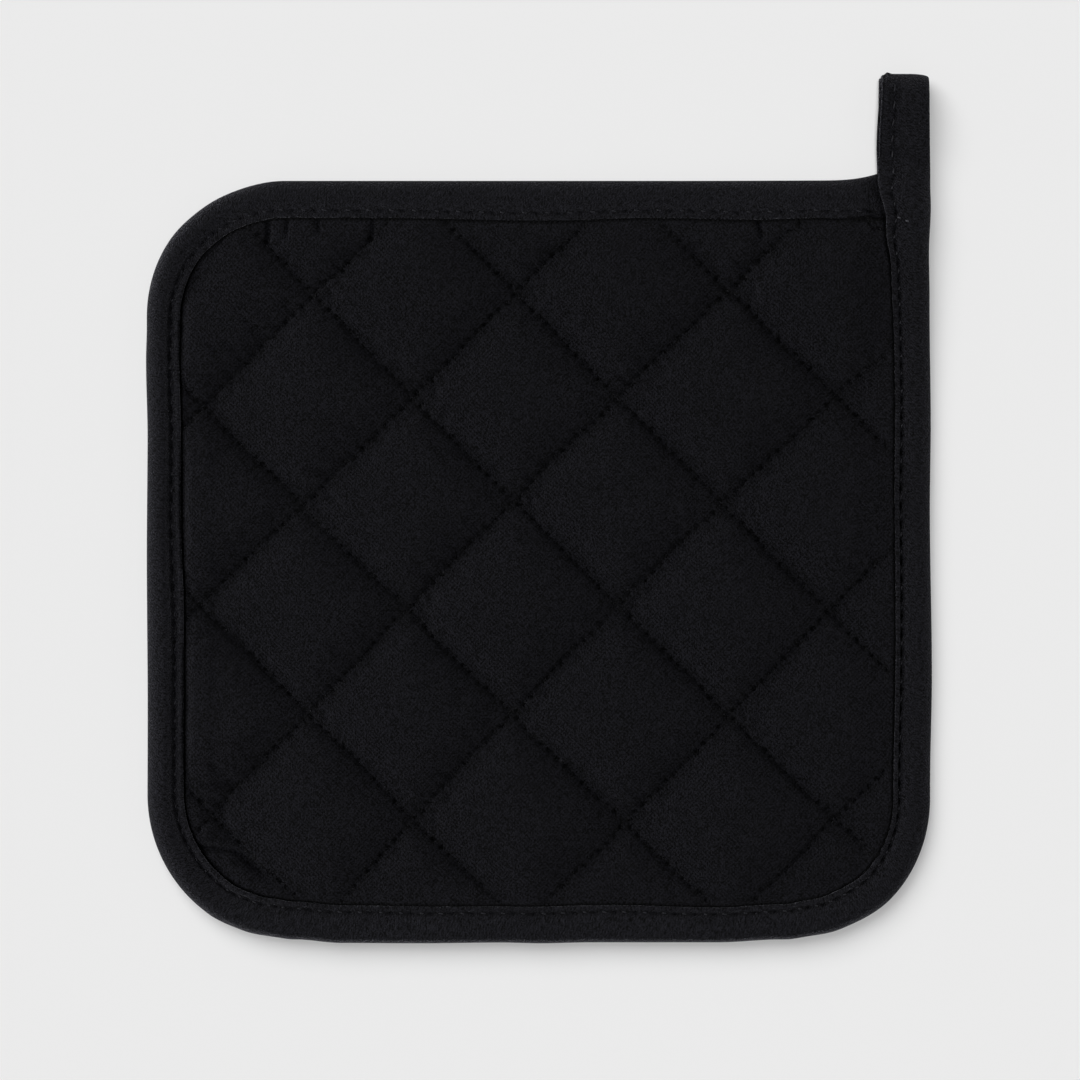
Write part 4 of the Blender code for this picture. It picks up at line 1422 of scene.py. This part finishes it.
class POTHOLDER_OT_stage(bpy.types.Operator):
    """Set up the floor, the lights and the camera straight above"""

    bl_idname = "potholder.stage"
    bl_label = "Floor, Lights and Camera"
    bl_options = {"REGISTER", "UNDO"}

    # Lights on the floor: name, where the light comes from, strength, spread in degrees
    FLOOR_LIGHTS = (
        ("overhead", (0.0, 0.0, 1.0), 1.30, 8.0),
        ("window", (-0.52, 0.72, 1.05), 1.95, 48.0),
    )
    # Softboxes on the cloth, flagged off from the floor so that it stays even: name, place, side, power
    SOFTBOXES = (
        ("left", (-0.99, -0.49, 1.013), 0.60, 25.5),
        ("rim_top", (0.0, 1.98, 0.28), 0.40, 22.0),
        ("rim_bottom", (0.0, -1.98, 0.28), 0.40, 0.3),
        ("rim_left", (-1.97, -0.20, 0.42), 0.40, 54.0),
        ("rim_right", (1.90, 0.0, 0.42), 0.40, 40.0),
    )
    SUN_DISTANCE = 1.5
    FLOOR_SIZE = 6.0
    FLOOR_GAP = 0.05 * MM
    ROOM_LIGHT = 0.10
    # The whole frame is 279.5 mm wide at the height of the folded edge
    FRAME_WIDTH = 279.5 * MM
    FOLD_HEIGHT = 3.0 * MM
    CAMERA_PLACE = (0.27 * MM, -8.24 * MM)

    @staticmethod
    def hang(lamp, place, floor, state):
        """Hang a light that looks at the middle, and say if it lights only the floor or leaves it out."""
        light = bpy.data.objects.new(lamp.name, lamp)
        light.location = place
        light.rotation_euler = place.to_track_quat("Z", "Y").to_euler()
        bpy.context.scene.collection.objects.link(light)
        lit = bpy.data.collections.new(lamp.name)
        lit.objects.link(floor)
        lit.collection_objects[0].light_linking.link_state = state
        light.light_linking.receiver_collection = lit

    def execute(self, context):
        scene = context.scene
        bpy.ops.object.select_all(action="DESELECT")
        bpy.ops.mesh.primitive_plane_add(size=self.FLOOR_SIZE, location=(0.0, 0.0, 0.0))
        floor = context.object
        floor.name = "floor"
        floor.data.transform(floor.matrix_world)
        floor.data.materials.append(matt_board(scene.pot_holder_colours))
        for vert in floor.data.vertices:
            vert.co.z = -self.FLOOR_GAP
        for name, source, strength, spread in self.FLOOR_LIGHTS:
            lamp = bpy.data.lights.new(name, "SUN")
            lamp.energy = strength
            lamp.angle = math.radians(spread)
            self.hang(lamp, Vector(source).normalized() * self.SUN_DISTANCE, floor, "INCLUDE")
        for name, place, side, power in self.SOFTBOXES:
            lamp = bpy.data.lights.new(name, "AREA")
            lamp.shape = "SQUARE"
            lamp.size = side
            lamp.energy = power
            self.hang(lamp, Vector(place), floor, "EXCLUDE")
        scene.world = bpy.data.worlds.new("studio")
        scene.world.use_nodes = True
        background = scene.world.node_tree.nodes["Background"]
        background.inputs["Color"].default_value = (1.0, 1.0, 1.0, 1.0)
        background.inputs["Strength"].default_value = self.ROOM_LIGHT
        lens = bpy.data.cameras.new("camera")
        lens.lens = 200.0
        lens.sensor_width = 36.0
        lens.clip_end = 20.0
        camera = bpy.data.objects.new("camera", lens)
        distance = self.FRAME_WIDTH * lens.lens / lens.sensor_width
        camera.location = (*self.CAMERA_PLACE, distance + self.FOLD_HEIGHT)
        scene.collection.objects.link(camera)
        scene.camera = camera
        scene.view_settings.view_transform = "Standard"
        return {"FINISHED"}


class POTHOLDER_PT_panel(bpy.types.Panel):
    """Lists the pot holder's pieces, sizes and colours"""

    bl_label = "Quilted Pot Holder"
    bl_idname = "POTHOLDER_PT_panel"
    bl_space_type = "VIEW_3D"
    bl_region_type = "UI"
    bl_category = "Pot Holder"

    def draw(self, context):
        for group in (context.scene.pot_holder_sizes, context.scene.pot_holder_colours):
            box = self.layout.box()
            for name in group.__annotations__:
                box.prop(group, name)
        for operator in OPERATORS:
            self.layout.operator(operator.bl_idname)


OPERATORS = (
    POTHOLDER_OT_quilted_pad,
    POTHOLDER_OT_binding_tape,
    POTHOLDER_OT_quilting_thread,
    POTHOLDER_OT_edge_thread,
    POTHOLDER_OT_stage,
)
CLASSES = (PotHolderSizes, PotHolderColours) + OPERATORS + (POTHOLDER_PT_panel,)


def register():
    for cls in CLASSES:
        bpy.utils.register_class(cls)
    bpy.types.Scene.pot_holder_sizes = bpy.props.PointerProperty(type=PotHolderSizes)
    bpy.types.Scene.pot_holder_colours = bpy.props.PointerProperty(type=PotHolderColours)


def unregister():
    del bpy.types.Scene.pot_holder_colours
    del bpy.types.Scene.pot_holder_sizes
    for cls in reversed(CLASSES):
        bpy.utils.unregister_class(cls)


def main():
    """Make every piece."""
    register()
    bpy.ops.potholder.quilted_pad()
    bpy.ops.potholder.binding_tape()
    bpy.ops.potholder.quilting_thread()
    bpy.ops.potholder.edge_thread()
    bpy.ops.potholder.stage()


if __name__ == "__main__":
    main()
